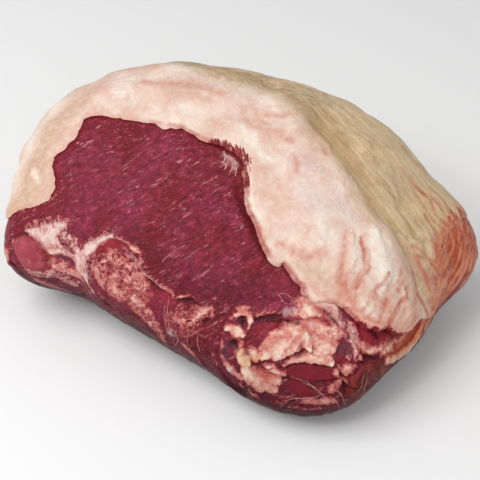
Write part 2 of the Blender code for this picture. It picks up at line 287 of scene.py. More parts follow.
# %% [markdown]
# ## The rim of the fat
#
# The rim is smooth on the large scale and ragged by a few millimetres. Spread flat round a
# pole in the middle of the fat, the line is a closed outline, and a direction is under fat
# where it falls inside that outline.

# %% The rim of the fat
POLE = bearing(122.0, 40.0)  # the middle of the fat
RAGGED, RAGGED_SIZE = 0.0022, 0.008  # how far the rim wobbles, and over what length
RIM_STEPS = 8
SPLINE_STEPS = 24
CHUNK = 4000  # points compared with a line at a time
NEVER_ZERO = 1e-15


def spline(knots, steps, closed=False, room=3):
    """A smooth curve through the knots: cubic pieces whose slopes come from the
    neighbours on both sides. The first columns are places, and more may follow."""
    k = np.array(knots, float)
    k = np.vstack([k[-1:], k, k[:2]]) if closed else np.vstack([2 * k[0] - k[1], k, 2 * k[-1] - k[-2]])
    gap = np.linalg.norm(np.diff(k[:, :room], axis=0), axis=1)
    slope = (k[2:] - k[:-2]) / (gap[1:] + gap[:-1])[:, None]
    t = np.linspace(0.0, 1.0, steps, endpoint=False)[None, :, None]
    start, end, length = k[1:-2, None], k[2:-1, None], gap[1:-1, None, None]
    curve = (
        start * (2 * t**3 - 3 * t**2 + 1)
        + end * (3 * t**2 - 2 * t**3)
        + slope[:-1, None] * length * (t**3 - 2 * t**2 + t)
        + slope[1:, None] * length * (t**3 - t**2)
    )
    curve = curve.reshape(-1, k.shape[1])
    return curve if closed else np.vstack([curve, k[-2]])


def by_chunks(measure, p):
    """The same measure for all points, some thousands at a time to save memory."""
    return np.concatenate([measure(part) for part in np.split(p, range(CHUNK, len(p), CHUNK))])


def round_pole(d):
    """Each direction spread flat round the fat's pole: its angle from the pole, laid off
    at its turn round it."""
    east = unit(np.cross((0.0, 0.0, 1.0), POLE))
    across = np.stack([dot(d, east), dot(d, np.cross(POLE, east))], -1)
    return unit(across) * np.arccos(np.clip(dot(d, POLE), -1.0, 1.0))[..., None]


def turn_of(flat):
    return np.arctan2(flat[..., 1], flat[..., 0])


class Rim:
    """The closed line where the fat ends."""

    def __init__(self, seen, hidden):
        knots = np.column_stack([lifted(seen[:, :2]), seen[:, 2] / 1000.0])
        knots = np.vstack([knots, [(*place, thick) for place, thick in hidden]])
        curve = spline(knots, RIM_STEPS, closed=True)
        self.flat = round_pole(unit(curve[:, :3] - HEART))
        self.reach = np.linalg.norm(curve[:, :3] - HEART, axis=1)
        self.thick = curve[:, 3]

    def at(self, flat, values):
        """What the rim has at the same turn round the pole."""
        return np.interp(turn_of(flat), turn_of(self.flat), values, period=2 * np.pi)

    def inside(self, d):
        """1 in the fat and -1 outside: a ray from a point in the flat picture crosses the
        rim an odd number of times from inside. Noise shifts the point first."""
        flat = round_pole(d)
        reach = self.at(flat, self.reach)[:, None]
        wobble = np.stack([layered(d * reach, RAGGED_SIZE, 3, shift) for shift in (0.0, 5.5)], -1)
        a, b = self.flat, np.roll(self.flat, -1, axis=0)

        def crossings(part):
            x, y = part[:, :1], part[:, 1:]
            spans = (a[:, 1] > y) != (b[:, 1] > y)
            where = a[:, 0] + (b - a)[:, 0] * (y - a[:, 1]) / ((b - a)[:, 1] + NEVER_ZERO)
            return np.where(np.sum(spans & (x < where), axis=1) % 2, 1.0, -1.0)

        return by_chunks(crossings, flat + RAGGED * wobble / reach)

    def thickness(self, d):
        """How thick the fat is at the rim, at the same turn round the pole."""
        return self.at(round_pole(d), self.thick)


rim = Rim(numbers(RIM_SEEN), RIM_HIDDEN)
print(len(rim.flat), "places along the rim")

# %% [markdown]
# ## One grid for meat and fat
#
# Six square patches of a cube, blown up to a ball, give a closed net of nearly even cells
# without the pinched poles of a globe. The ball is squeezed and shifted before it is used
# as directions, which crowds its cells on the front, where the finest marks are.

# %% The net of directions
PATCH_CELLS = 127
SQUEEZE = np.array([1.0, 0.70, 0.50])
CROWD = np.array([0.10, -0.20, -0.02])  # towards the busy front


def halves(a, b, c, d):
    """Each four-sided cell a, b, c, d as two triangles."""
    return np.concatenate([np.stack(corners, -1).reshape(-1, 3) for corners in ((a, b, c), (a, c, d))])


def fan(tip, ring):
    """Triangles from one point to each side of a closed ring."""
    return np.stack([np.full(len(ring), tip), ring, np.roll(ring, -1)], -1)


def ball_net(cells):
    """Six patches. On each, the two parameters run from -1 to 1, and tan(pi/4 s) spaces
    them evenly as angles. Twin points along the seams become one."""
    s = np.tan(np.linspace(-1.0, 1.0, cells + 1) * np.pi / 4.0)
    u, v = np.meshgrid(s, s, indexing="ij")
    number = np.arange(u.size).reshape(u.shape)
    cell_faces = halves(number[:-1, :-1], number[1:, :-1], number[1:, 1:], number[:-1, 1:])
    points, faces = [], []
    for axis in range(3):
        for side in (1.0, -1.0):
            p = np.roll(np.stack([np.full(u.shape, side), u, v], -1), axis, axis=-1).reshape(-1, 3)
            faces.append((cell_faces if side > 0 else cell_faces[:, ::-1]) + u.size * len(points))
            points.append(p)
    merged, place = np.unique(np.round(np.concatenate(points), 9), axis=0, return_inverse=True)
    return unit(merged), place.reshape(-1)[np.concatenate(faces)]


directions, triangles = ball_net(PATCH_CELLS)
directions = unit(directions * SQUEEZE + CROWD)
print(len(directions), "directions,", len(triangles), "triangles")

# %% [markdown]
# ## The net meets the rim
#
# The points nearest to the rim are moved onto it, so meat, fat and the edge between them
# share one line of points and neither leaves a crack.

# %% The net meets the rim


def sides_of(faces):
    """Each side of the triangles once, and which of them has a triangle on one side only."""
    sides = np.concatenate([faces[:, [0, 1]], faces[:, [1, 2]], faces[:, [2, 0]]])
    _, place, count = np.unique(np.sort(sides, axis=1), axis=0, return_index=True, return_counts=True)
    return sides[place], count == 1


def snapped(d, edges, level):
    """Moves the nearer end of each edge that crosses level 0 to where it crosses.
    Returns the directions, and which of them are on the line."""
    a, b = edges[(level(d)[edges] > 0).sum(axis=1) == 1].T
    begins, way = level(d[a]) > 0, d[b] - d[a]
    low, _ = halved(
        np.zeros(len(a)), np.ones(len(a)),
        lambda share: (level(unit(d[a] + share[:, None] * way)) > 0) == begins,
    )
    crossing = unit(d[a] + low[:, None] * way)
    order = np.argsort(-np.minimum(low, 1.0 - low))
    mover = np.where(low < 0.5, a, b)[order]
    moved, on_line = d.copy(), np.zeros(len(d), bool)
    moved[mover] = crossing[order]
    on_line[mover] = True
    return moved, on_line


def squares(p, line):
    """The squared distance from each point to each place of a line."""
    return dot(p, p)[:, None] - 2.0 * p @ line.T + dot(line, line)


def far_from_line(p, line):
    """The distance from each point to the nearest place of a fine line."""
    return by_chunks(lambda part: np.sqrt(np.min(squares(part, line).clip(0.0), axis=-1)), p)


directions, on_rim = snapped(directions, sides_of(triangles)[0], rim.inside)
fat_here = (rim.inside(directions) > 0) & ~on_rim
under_fat = fat_here[triangles].any(axis=1)
form = form_radius(directions)
on_form = HEART + directions * form[:, None]
from_rim = far_from_line(on_form, on_form[on_rim])
rim_thick = rim.thickness(directions)
print(int(on_rim.sum()), "points on the rim,", int(under_fat.sum()), "triangles under fat")

# %% [markdown]
# ## Strokes
#
# The lower front of the roast is a busy place: lumps of fat, slits, blood, threads of
# connective tissue. Each of these is laid down as a stroke, as a painter would: a line
# through a few places in the picture, with a half width at each. The stroke is lifted onto
# the form, and every point of a skin learns how far outside it lies. That one number
# serves twice. It raises or sinks the skin, and it tells the finish what lies there.

# %% Strokes
STROKE_STEPS = 4
BEYOND = 0.012  # how far round a stroke its distance is worked out
TINY = 1e-12
WARP, WARP_SIZE = 0.0016, 0.0055  # strokes get uneven sides by this much, over this length


def strokes_of(table):
    """The strokes of a table, each its single numbers and then its places. A row that
    starts with a space goes on with the one above."""
    for row in table.replace("\n ", " ").strip().splitlines():
        if not row.startswith("#"):
            words = row.split(":")[1].split()
            places = " ".join(word for word in words if "," in word)
            yield (*[float(word) for word in words if "," not in word], places)


def line_on_form(places):
    """A stroke's places on the form and its half widths in metres. Written down are x, y
    and half width in pixels of the picture."""
    fine = spline(numbers(places), STROKE_STEPS, room=2)
    return np.column_stack([lifted(fine[:, :2]), fine[:, 2] * PIXEL])


def warped(p):
    """The same points, each pushed aside by noise."""
    push = [layered(p, WARP_SIZE, 3, shift) for shift in (3.1, 17.7, 40.9)]
    return p + WARP * np.stack(push, -1)


def beside(p, line):
    """For each point the distance to a stroke less its half width there, which is negative
    inside, and how near the middle it is: 0 at the side, 1 in the middle."""
    outside, crown = np.full(len(p), BEYOND), np.zeros(len(p))
    middle = line[:, :3].mean(axis=0)
    span = np.max(np.linalg.norm(line[:, :3] - middle, axis=1) + line[:, 3]) + BEYOND
    near = np.flatnonzero(np.linalg.norm(p - middle, axis=1) < span)
    for start, end in zip(line[:-1], line[1:]):
        way, offset = end[:3] - start[:3], p[near] - start[:3]
        share = np.clip(offset @ way / max(way @ way, TINY), 0.0, 1.0)
        away = np.linalg.norm(offset - share[:, None] * way, axis=1)
        half = start[3] + share * (end[3] - start[3])
        outside[near] = np.minimum(outside[near], away - half)
        crown[near] = np.maximum(crown[near], 1.0 - away / half)
    return outside, crown


across_pad = line_on_form("100,260,5 140,290,5")
print(f"a stroke over the first pad is {1000 * np.linalg.norm(across_pad[-1] - across_pad[0]):.0f} mm long")

# %% [markdown]
# ## Fat and tissue over the meat
#
# From left to right: the pale V between the small muscles at the left end, the two pads
# with their borders, the lumps and flaps of the seam, the layers at the right. A stroke is
# as pale as the fat is thick, and its height lets it catch the light.

# %% Fatty strokes
# Each stroke: how thick and so how pale it is, from 0 to 1, its height in mm, its places.
FATTY = """
# the left end: a V of pale tissue between the small muscles
bed of the left end: 0.40 0.0 58,262,12 74,262,14 86,268,10
fringe of the left branch: 0.36 0.0 24,226,3 36,221,5 50,218,5 64,218,4
fringe of the right branch: 0.26 0.0 115,231,2.5 101,235,4.5 90,240,5 80,246,5
left branch: 0.92 0.8 28,231,3 36,231,6 45,230,8 54,228,7 62,224,3
left branch's middle: 0.92 0.7 41,234,7 48,240,9 53,248,8
left branch's foot: 0.84 0.6 52,247,6 60,252,5 70,257,5 80,262,6
across the foot: 0.60 0.4 50,258,3 56,268,4 68,272,5 80,276,5
right branch: 0.92 0.8 114,234.5,2 103,239,3.6 94,244,5.5 86,250,6.5
column: 0.88 0.9 79,254,7 80,262,9 84,271,7.5 87,280,5 93,292,2.6
between the branches: 0.44 0.0 62,230,4 68,240,7 75,247,7
far nodule: 0.70 1.5 4,249,3 5,256,4 8,264,2.5
beside the oval: 0.60 0.4 11,240,3 14,247,3
under the oval: 0.52 0.5 22,265,2.4 32,271,5 44,274,6 56,272,5
under that: 0.52 0.4 28,274,2 38,280,4 52,286,4 68,291,3.4
peach patch: 0.54 0.5 50,271,4.5 60,277,6 71,285,5.5
white blob: 0.98 0.8 57,264,2 61,267,2
blob by the oval: 0.98 0.7 25,230.5,2 28,229,1.4
streak at the foot: 0.66 0.3 73,281,1.4 82,291,1.4
second streak at the foot: 0.7 0.3 79,279,1.4 90,293,1.2
# the first pad
first pad: 0.46 1.0 97,260,9 110,264,13 124,272,16 136,284,15 147,294,8
first pad's top: 0.40 0.8 112,252,7 126,258,8.5 138,271,7
first pad's pale left: 0.56 0.8 98,268,6 106,280,8 120,292,8 134,297,7
first pad's border: 0.78 0.8 141,252,1 143,267,1.1 153,278,1.2 162,286,1.3 170,291,1.5 172,299,1.3
bright tip: 0.98 1.0 129,243,1.3 135,247,2.3 140,251,2
top border: 0.86 0.6 113,235,1.2 122,238,1.2 130,242,1.2
left streaks of the pad: 0.66 0.3 91,278,1.2 98,288,1.4 106,298,1.2
under the first pad: 0.54 0.4 136,303,9 148,318,8.5 157,330,6 163,341,3
streak at the silhouette: 0.66 0.4 112,310,1.2 120,317,1.8 128,324,1.2
streaks beside it: 0.55 0.3 113,305,1.1 121,306,0.9 128,311,1.3
brown streak: 0.55 0.4 150,328,1.6 158,336,2.2 165,344,1.2
# the second pad
second pad: 0.30 1.0 170,310,5 182,315,10 196,315,10 206,314,6
second pad's foot: 0.28 0.8 170,324,6 184,327,9 196,325,6
its bright middle: 0.62 0.5 178,322,1.4 186,317,2 193,318,1.6
its bright side: 0.84 0.8 190,323,2 196,317,3 203,310,3.4 211,308,2.2 212,314,2
thread beside it: 0.6 0.3 169,301,1 165,316,1.1 170,334,1
pale lip: 0.82 0.8 174,300,1.1 181,298,1.4 188,298,1.3 195,303,0.9
pieces below it: 0.66 0.5 181,342,1.8 190,350,2.8 201,363,1.8
speck beside the pads: 0.75 0.4 198,338,1.1 203,341,1.1
# thin fat between the lumps of the seam
under the hook: 0.42 0.3 232,314,6 236,332,8 240,350,7
upper bed: 0.62 0.6 296,312,7 310,308,10 330,306,11
middle bed: 0.72 0.8 261,354,6 272,343,10 290,335,13 310,334,14 326,346,12
band's far side: 0.30 0.3 246,346,5 254,334,5 266,325,4
lower left bed: 0.58 0.6 244,368,5 252,377,10 264,384,10 274,384,8
right bed: 0.56 0.6 340,322,9 352,334,9 356,350,8 350,366,8 338,372,6
far right bed: 0.58 0.6 372,350,8 388,352,9 404,344,9 418,328,7
# the seam fat's left side
hook: 0.80 2.4 234,313,3 241,311.5,3 248,313,3 250,319,3 248,326,2.2
lump by the pocket: 0.86 2.8 227,326,4 236,329,6 242,333,4
first finger: 0.80 1.0 256,315,1.8 261,312,2.4 265,310,1.6
second finger: 0.75 0.8 267,312,1.6 273,310.5,1.6
side streak above: 0.60 0.3 211,350,1 216,362,1.6 224,375,1.4
side streak below: 0.56 0.3 236,393,1.2 246,400,1.6 258,405,1.2
streaks at the side: 0.76 0.6 222,356,2.4 226,364,4 233,371,4.4 241,378,3
below the pocket: 0.50 0.5 222,340,2 222,350,2.4 226,358,2.4
under the lower lump: 0.60 0.6 240,384,2 248,392,2.6 258,398,2
over the hook: 0.66 0.6 230,310,1.6 240,307,2.2 250,307,1.6
yellow lobe: 1.1 2.6 240,350,5 243,356,7 245,362,5.4
lobe under it: 0.96 2.4 242,368,4 248,369,4
round yellow lobe: 0.92 3.0 251,350,4.6 255,356,4.8
tongue: 0.92 1.2 264,365.5,1.8 268,365,2.4 272,364,1.8
lower lump: 0.88 3.4 246,371,5 252,378,8 262,386,7
lower lump's right: 0.80 2.2 268,371,3 275,371,4.5 280,377,3.4
lobe at its side: 0.84 2.4 270,383,4 279,384,4.4
second lobe at its side: 0.80 2.0 276,372,3 284,373,2.6
tip: 0.92 2.6 266,388,4 272,391,5 276,391,3.5
streak under the tip: 0.72 0.8 276,403,1.2 281,405,1.8 288,403,1.2
# the seam fat's middle and right
large lump: 0.96 4.2 262,356,4 270,348,7 282,342,9 295,336,9 304,334,6
large lump's front: 0.94 3.6 274,355,4.4 286,349,5 297,345,4
large lump's back: 0.86 2.6 272,340,4 280,333,5 290,329,6 302,328,6
torn flap: 1.0 4.4 301,336,2.4 306,342,5 308,347,3
upper right: 0.86 2.8 303,312,6 312,308,9 322,305,9
middle right: 0.80 2.0 306,322,6 316,326,7 326,332,7
right lump: 0.86 3.2 312,338,6 320,343,7 330,348,6
lip: 0.84 4.4 281,362,2 290,358,3.6 300,355.5,4.2 310,356,4.6 320,357,5 329,360,4.2
mottled fat: 0.98 1.6 322,300,9 333,308,9 338,320,8 336,333,6
grey flap: 0.60 2.2 353,340,4 358,334,5 360,325,3
pale flap: 0.80 1.5 352,358,2.8 355,350,3.4
flap on the membrane: 0.70 1.6 335,371,4 344,368,5 354,365,4
piece by the crevice: 0.92 2.4 372,355,3 378,353,4.4 384,351,3.4
piece at the right: 0.90 2.6 387,346,3 391,350,4.4 396,352,3
layers at the right: 0.94 3.2 390,362,5 402,357,6 413,346,6 421,333,5.5 427,319,4
inner layer: 0.88 1.8 384,358,2.4 396,348,3 408,340,2.6 417,329,2
glassy patch: 0.66 0.6 332,393,4 338,388,5.4 345,382,3
foot at the right: 0.58 0.5 300,404,3 318,404,4 335,403,4
first foot streak: 0.60 0.3 273,397,1.2 286,400,1.8 298,398,1
second foot streak: 0.58 0.3 290,409,1.2 306,411,1.6 322,410,1.4
# beside the rim of the fat cap
notch: 1.1 0.8 225,148,2.4 230,153,3.4 236,159,3
notch's fringe: 0.8 0.5 223,158,1.2 229,162,1.8 236,168,1.4
lower rim at the left: 0.60 0.2 4,219,1.6 12,213,1.8 21,208,1.8 32,206,1.8 43,202,2 52,195,2
# the small end
veins of the layers: 0.20 0.3 396,358,0.8 404,349,0.9 412,338,0.8
streak by the silhouette: 0.60 0.3 452,296,1.4 460,284,1.6 468,270,1.2
"""
print(len(list(strokes_of(FATTY))), "fatty strokes")

# %% [markdown]
# ## Other marks on the meat
#
# Slits and creases between the lumps are sunken and painted dark, partly in their own deep
# red and partly as painted shade. Blood stands in the seams, small muscles show bare between
# the fat, and thin membranes let the flesh shine through brown or orange. Each kind gets its
# own colours later.

# %% Marks on the meat
# Each stroke: its height in mm, then its places.
MARKS = {
    # dark: slits and creases painted nearly black, partly their own colour and partly painted shade
    "dark": """
inside the hook: -1.5 239,320,1.4 243,318,2 242,323,1.6
pocket: -2.0 229,345,1.4 234,342,2.2 236,346,1.4
granular crevice: -1.8 254,320,1.6 262,318,2.4 270,317,2.6 280,315,1.8
line under the silverskin: -0.8 268,321,1 282,320.5,1.1 298,322,0.8
slit in the lumps: -2.0 283,357,0.7 291,353,0.9 301,350.5,0.8 311,350,0.6
shadow under the lip: -2.2 280,367,0.8 292,363,1 302,361.5,1 314,363.5,1 329,366,0.8
slit between the pads: -2.0 176,302,0.8 184,303,1.6 196,304,0.8
spot on the second pad: -0.8 204,319,2.4 208,318,2.6
crease above the oval: -1.0 8,240,0.9 18,233,1.1 27,232,0.7
left foot: -1.0 8,262,1.6 14,267,3 24,276,4 38,284,4 56,291,3 82,295,2.4
maroon patch at the foot: -0.5 42,277,1.6 50,280,2.6 56,283,1.6
crease left of the first pad: -1.5 92,258,0.9 89,270,1.1 90,284,1.3 99,297,1.4 111,306,1
crease at the border: -0.8 149,277,0.9 156,286,1.3 163,291,0.9
first crevice: -2.2 373,334,1.5 379,338,2.4 383,342,2
second crevice: -2.2 361,362,2.2 366,362,2.2 380,361,1.3
crevice under the fat: -1.6 400,336,1.2 411,332,1.5 420,323,1.5
fold in the membrane: -1.4 333,383,0.8 341,379,0.9 353,373,0.9 360,368,0.8
dark vein: -0.5 353,388,0.8 360,378,0.9 364,370,0.7
second dark vein: -0.5 363,390,0.9 370,384,1.2 373,377,0.9
""",
    "blood": """
streaky band: -1.2 246,350,3.5 250,338,5 260,328,4.5 272,324,3 284,323,1.8
stain by the slit: -0.5 301,338,0.8 297,345,1.1 292,352,1
spot by the yellow lobes: -1.0 257,367,2 261,362,3.8 263,358,2.4
by the tongue: -0.6 266,370,1.4 261,366,2.4 257,369,2
seam by the flap: -0.8 307,331,1 311,337,1.3 312,345,0.9
round the first crevice: -1.0 369,330,3 377,335,5 383,343,4.6 372,346,3
along the fat: -0.8 392,335,2.2 404,337,2.4 414,331,2.8 422,320,2.4
beside the oval: -0.8 38,237,1.8 44,247,2.4 48,257,2.6 49,266,2
above the oval: -0.3 14,236,1.6 22,233,1.8 30,233,1.4
top of the first pad: 0.0 116,240,1.4 123,242,1.8 128,246,1.2
round the first pad: 0.0 104,246,1.6 92,256,1.6 88,268,1.6 91,284,1.6
under the notch: 0.0 200,142,1.4 214,146,2 224,149,2.4 235,154,2.6 240,165,3.4 240,180,3 243,196,2
round the membranes: -0.3 330,384,2 344,378,2.2 358,372,2 366,366,2
""",
    "crimson": """
right of the window: 0.0 243,170,4 241,184,6 242,200,6 247,214,6 254,228,5.6 259,241,5 266,255,4.6
    272,263,3
under the cap: 0.0 348,311,1.2 358,323,2 368,334,4.4 376,340,6.4 385,342,4 394,338,3.4 406,337,2.6
    418,327,2
between the layers: 0.0 388,348,1 396,343,1.4 404,340,1
beside the second crevice: 0.0 352,362,1.4 362,362,3 376,361,2.4 386,362,1.4
at the window's corner: 0.0 284,263,1.6 290,272,2.4 300,286,2.4 303,294,2
under the notch: 0.0 190,133,0.8 206,140,1.6 218,144,2.4 228,149,2.4
""",
    "deep": """
lower window: 0.0 176,280,12 204,296,20 232,296,18 256,290,12
left of the pads: 0.0 130,236,6 150,256,10 172,282,10
""",
    "flush": """
on the large lump: -0.6 266,345,2 272,339,3.4 281,335,3 290,333,2
between the lumps: -0.8 284,346,1.4 291,340,2.4 299,330,2.4 306,322,2
behind the lumps: -0.8 296,320,1.6 308,318,2.4 320,318,2.4 330,322,2
right of the lumps: -0.6 314,334,1.4 322,336,2.4 332,342,2
on the lip: 0.0 296,357,1 308,358,1.4 322,360,1.4
on the lower lump: -0.8 254,370,2 262,376,3.6 272,378,4 280,374,2.4
down the lower lump: -0.8 262,376,2 262,384,2.4 266,392,1.6
at its foot: -0.4 250,386,1.6 258,388,2.4 268,394,1.6
on the mottled fat: -0.6 314,306,2 324,312,3 334,316,2.4 338,328,2.4
on the pocket's lump: 0.0 226,331,2.4 231,335,2.6 240,337,1.8
""",
    "yellow": """
lobes: 0.0 242,351,6 246,359,6 254,355,5
""",
    "purple": """
patch: -1.6 333,354,2.4 339,350,4 346,346,4.6 348,354,3
vein: -0.3 327,313,1.6 332,318,1.8 338,325,1.2
second vein: -0.3 348,317,1.4 351,322,1.8 350,330,1.2 346,338,1.4
third vein: -0.3 341,306,1.4 344,313,1.8 343,320,1.2
small oval: -0.6 54,256,2.4 61,259,3.8 69,263.5,3
under the lobes: -0.8 224,350,3.6 226,357,3
pocket: -0.6 228,345,4 233,342,4.6 235,347,2.6
inside the hook: -0.4 238,321,2.8 243,318,3.4 244,324,3
""",
    "lilac": """
silverskin: 0.6 285,313,2 290,310,4 297,307,2.6
bluish line: 0.3 299,321,1 307,321.5,1.4 316,322,1
lilac patch: 0.3 169,330,3 176,333,2.6
on the pocket: 0.3 224,349,1.2 231,343,1.2
side streaks: 0.3 223,362,1.4 231,370,1.6
""",
    "marbled": """
first pad: 0.0 100,262,10 112,268,16 125,278,16 138,290,11
second pad: 0.0 172,312,6 185,317,12 203,317,8 190,329,8
under the first pad: 0.0 140,306,7 150,324,7
mottled fat: 0.0 318,306,4 328,310,7 336,321,8 336,333,6
between the branches: 0.0 66,232,4 74,242,6 90,238,4
""",
    "smooth": """
oval muscle: 1.8 17,246,7 25,250,14 32,255,14 38,262,9
""",
    "whitish": """
left branch: 0.0 26,229,6 40,229,12 54,232,16 66,240,16 70,252,10
column: 0.0 114,233,5 96,241,9 82,256,13 86,276,8
foot: 0.0 24,268,4 38,272,8 54,276,10 72,282,8 84,291,5
notch: 0.0 222,150,4 230,158,7 237,166,5
right flaps: 0.0 354,326,7 356,342,6 353,358,5
""",
    "vivid": """
top of the first pad: 0.0 104,247,2.6 112,242,4 120,242,4 127,247,2.4
beside the oval: -0.5 38,236,2 45,246,2.8 49,257,3 50,267,2
beside the border: 0.0 148,274,2 156,284,3.4 164,292,3.4 168,302,3
under the cap: 0.0 368,332,3 376,341,6 386,343,4.4 400,338,2
beside the arch: 0.0 330,384,1 343,378,1.6 356,371,1.8 370,363,1.4
foot streaks: 0.0 70,278,1.2 80,288,1.6 90,297,1.4
""",
    "muscle": """
inside the arch: 0.8 291,370,4 300,371,8 316,374,8 326,376,6
below it: 0.4 292,389,4 299,391,7 310,396,4
""",
    "brown": """
thin corner: 0.0 378,372,5 385,377,7 374,392,8 356,406,6
membranes: 0.0 340,384,6 352,384,8 360,393,8 370,374,6
right side: 0.0 398,370,6 388,376,7
""",
    "orange": """
small end: 0.0 424,338,9 436,308,14 450,280,20 458,250,24 466,222,18
round the silhouette: 0.0 456,296,10 472,276,18 476,252,20 474,230,16
layers: 0.0 392,356,4 400,352,8 412,342,9 424,326,7
""",
}
print({kind: len(list(strokes_of(table))) for kind, table in MARKS.items()})

# %% [markdown]
# ## Marks on the fat cap
#
# The cap has round cream lobes with pink valleys between them, a tan valley along its
# fold, thin veins, and blood that has soaked in from its torn edge.

# %% Marks on the fat cap
CAP_MARKS = {
    "blush": """
under the bulge: -0.7 279,243,3 290,247,4 298,253,4.5 310,257,4 322,250,4
upper wrinkle: -0.5 252,105,1.6 264,111,2.4 280,114,3.4 297,114,1.6
second wrinkle: -0.4 256,112,1 262,120,1.4 268,124,0.8
third wrinkle: -0.4 244,118,0.8 254,126,1 266,130,0.8
blotch: 0.0 277,131,2 283,137,2.6 290,141,1.6
second blotch: 0.0 291,156,1.6 294,157,2 296,170,2
third blotch: 0.0 324,146,2 328,152,2.4
left of the lobes: -0.7 350,232,3 345,252,3.6 341,276,5 346,294,5
between the lobes: -1.0 365,236,1.2 364,250,1.8 362,268,2.6 358,286,4
right of the lobes: -0.5 388,284,2 386,300,3 378,314,4 390,326,4
lower edge: 0.0 352,306,4 366,318,6 384,326,6 402,328,5 416,316,4
corner by the seam: -0.4 306,284,3 316,290,4 330,300,5 342,304,5
top of the left side: 0.0 140,80,4 160,84,3
shelf: -0.5 150,80,2 176,82,3 204,88,3 222,96,2.4
strip at the right: 0.0 416,250,3 424,268,6 432,288,8 434,306,7
right of it: 0.0 432,240,4 440,258,6 442,276,6
""",
    "cream": """
over the notch: 0.5 242,126,4 252,140,6 262,154,5 276,158,3
at the rim: 0.6 248,190,3 250,204,5 257,218,5
on the bulge: 0.8 318,220,5 326,232,5 322,246,3
first lobe: 2.1 354,234,4 352,252,7 350,270,5
second lobe: 2.5 374,230,6 379,250,10 382,268,11 382,286,8
lobe at the edge: 1.8 364,306,5 376,312,7
lobe by the seam: 1.2 308,290,4 314,296,4 312,302,2.6
lump at the left: 0.8 34,172,3 36,178,3
top: 0.4 116,92,4 128,92,4
""",
    "sandy": """
second ridge: 1.2 372,172,5 388,198,7 404,222,6 414,240,4
ridge on the tan: 0.6 344,118,1.6 352,130,2 366,142,2 376,150,1.4
second ridge on it: 0.6 362,120,1.4 374,130,1.6 384,140,1.2
""",
    "warm": """
left side: 0.0 10,208,12 26,190,18 40,152,16 62,116,14 90,92,9
under the bulge: 0.0 300,262,5 318,276,8 336,288,7
""",
    "orange": """
small end: 0.0 430,312,3 440,292,7 447,268,9 447,244,10 456,222,10 470,206,9
""",
    "peach": """
lower right: 0.0 350,298,8 370,310,11 396,314,12 416,302,10
left of the lobes: 0.0 346,256,4 342,276,6 348,292,6
right of the lobes: 0.0 396,270,4 404,286,5 412,300,5
lower lobe: 2.5 404,294,5 409,306,9 410,320,8
""",
    "cool": """
on the bulge: 0.6 300,190,6 312,200,8 322,208,6
beside the valley: 0.0 332,190,4 342,204,5 352,218,5
left of it: 0.0 296,164,5 312,170,5
""",
    # tan: darker tan at the top edge and in the fold's valley, partly its colour and partly painted shade
    "tan": """
top of the silhouette: 0.0 160,60,3 190,62,6 220,70,8 250,80,7 284,90,4
top of the valley: -0.7 284,97,3 300,110,7 320,124,10 338,142,11 350,160,9
valley: -2.0 326,130,5 340,146,8 353,166,9 367,189,8 382,212,7 399,236,5.5 413,258,3
""",
    "vein": """
by the first lobe: -0.6 363,238,1 364,250,1.4 362,262,1
long: -0.9 384,270,1 380,280,1.4 376,290,1.3 374,298,0.8
gap at the end: -1.8 392,312,0.9 389,322,1.6 388,332,2.6
forked: -1.1 405,286,1 405,295,1.4 400,303,1.5 395,310,1.3 391,318,1
spot: -0.8 398,288,1 398,291,1.1
first streak: 0.0 353,258,0.2 347,276,0.4 346,290,0.3 350,302,0.2
second streak: 0.0 369,250,0.2 366,266,0.4 360,284,0.3 355,298,0.2
third streak: 0.0 378,296,0.2 374,308,0.4 368,318,0.2
fourth streak: 0.0 388,296,0.2 383,310,0.4 377,322,0.3
fifth streak: 0.0 412,272,0.2 415,288,0.4 416,304,0.3 412,318,0.2
below the lobes: -0.5 372,292,0.5 367,302,0.7 360,312,0.5
end of the valley: -1.4 414,268,0.8 417,282,1.2 420,294,1.6 425,306,2 428,316,1.6
right wrinkle: -0.8 420,186,0.9 427,196,1.2 432,208,1
second right wrinkle: -0.8 431,186,1 440,198,1.2 447,212,1
third right wrinkle: -0.8 424,214,0.9 433,230,1.2 438,246,1.4 437,262,1
fourth right wrinkle: -0.6 414,244,0.9 424,252,1 434,264,1.2 442,276,1.2
fifth right wrinkle: -0.6 421,262,1 428,276,1.2 431,290,1
""",
    "blood": """
notch: 0.0 210,139,2 223,141,4.4 234,146,5.4 244,153,6 249,166,4 248,184,2
end of the cap: 0.0 364,326,2 374,331,6 386,331,7.5 394,333,5 404,334,4 413,331,4 421,322,4
""",
    "stained": """
top of the window: 0.0 150,120,1 180,124,2 200,134,2.4 222,142,3
right of the window: 0.0 246,170,3 249,196,3 252,214,3 261,234,3 270,254,3
by the seam: 0.0 284,263,3 294,274,3 304,286,3 308,298,3
end of the cap: 0.0 346,307,3 356,316,3 366,326,4 386,333,5 404,335,4 420,323,3
""",
    "streaked": """
right side: 0.0 404,176,6 424,196,10 440,222,11 446,246,11 436,280,9
silhouette: 0.0 330,94,2 368,114,3.4 396,138,4 416,162,5 440,188,6 462,208,7
""",
}
print({kind: len(list(strokes_of(table))) for kind, table in CAP_MARKS.items()})

# %% [markdown]
# ## What the strokes do to a skin
#
# For every point of a skin the strokes of one kind give one number, the distance outside
# the nearest of them. Heights add up to a relief: what is highest wins, and slits sink
# whatever they cross. Fat is lumpy, so noise makes it thicker here and thinner there.

# %% Fields
LUMP_SIDE, LUMP_START = 0.0042, 0.42  # a fatty stroke thins out over this far at its side
LUMPS, LUMP_SIZE = 0.34, 0.0085  # how uneven the fat is, as a share of its thickness
LUMP_RISE = 0.0012


def half_circle(crown):
    """From 0 at a stroke's side to 1 in its middle, as round as a cord."""
    return np.sqrt(np.clip(crown * (2.0 - crown), 0.0, 1.0))


def gentle(share):
    """From 0 to 1 with a level start and end."""
    return share * share * (3.0 - 2.0 * share)


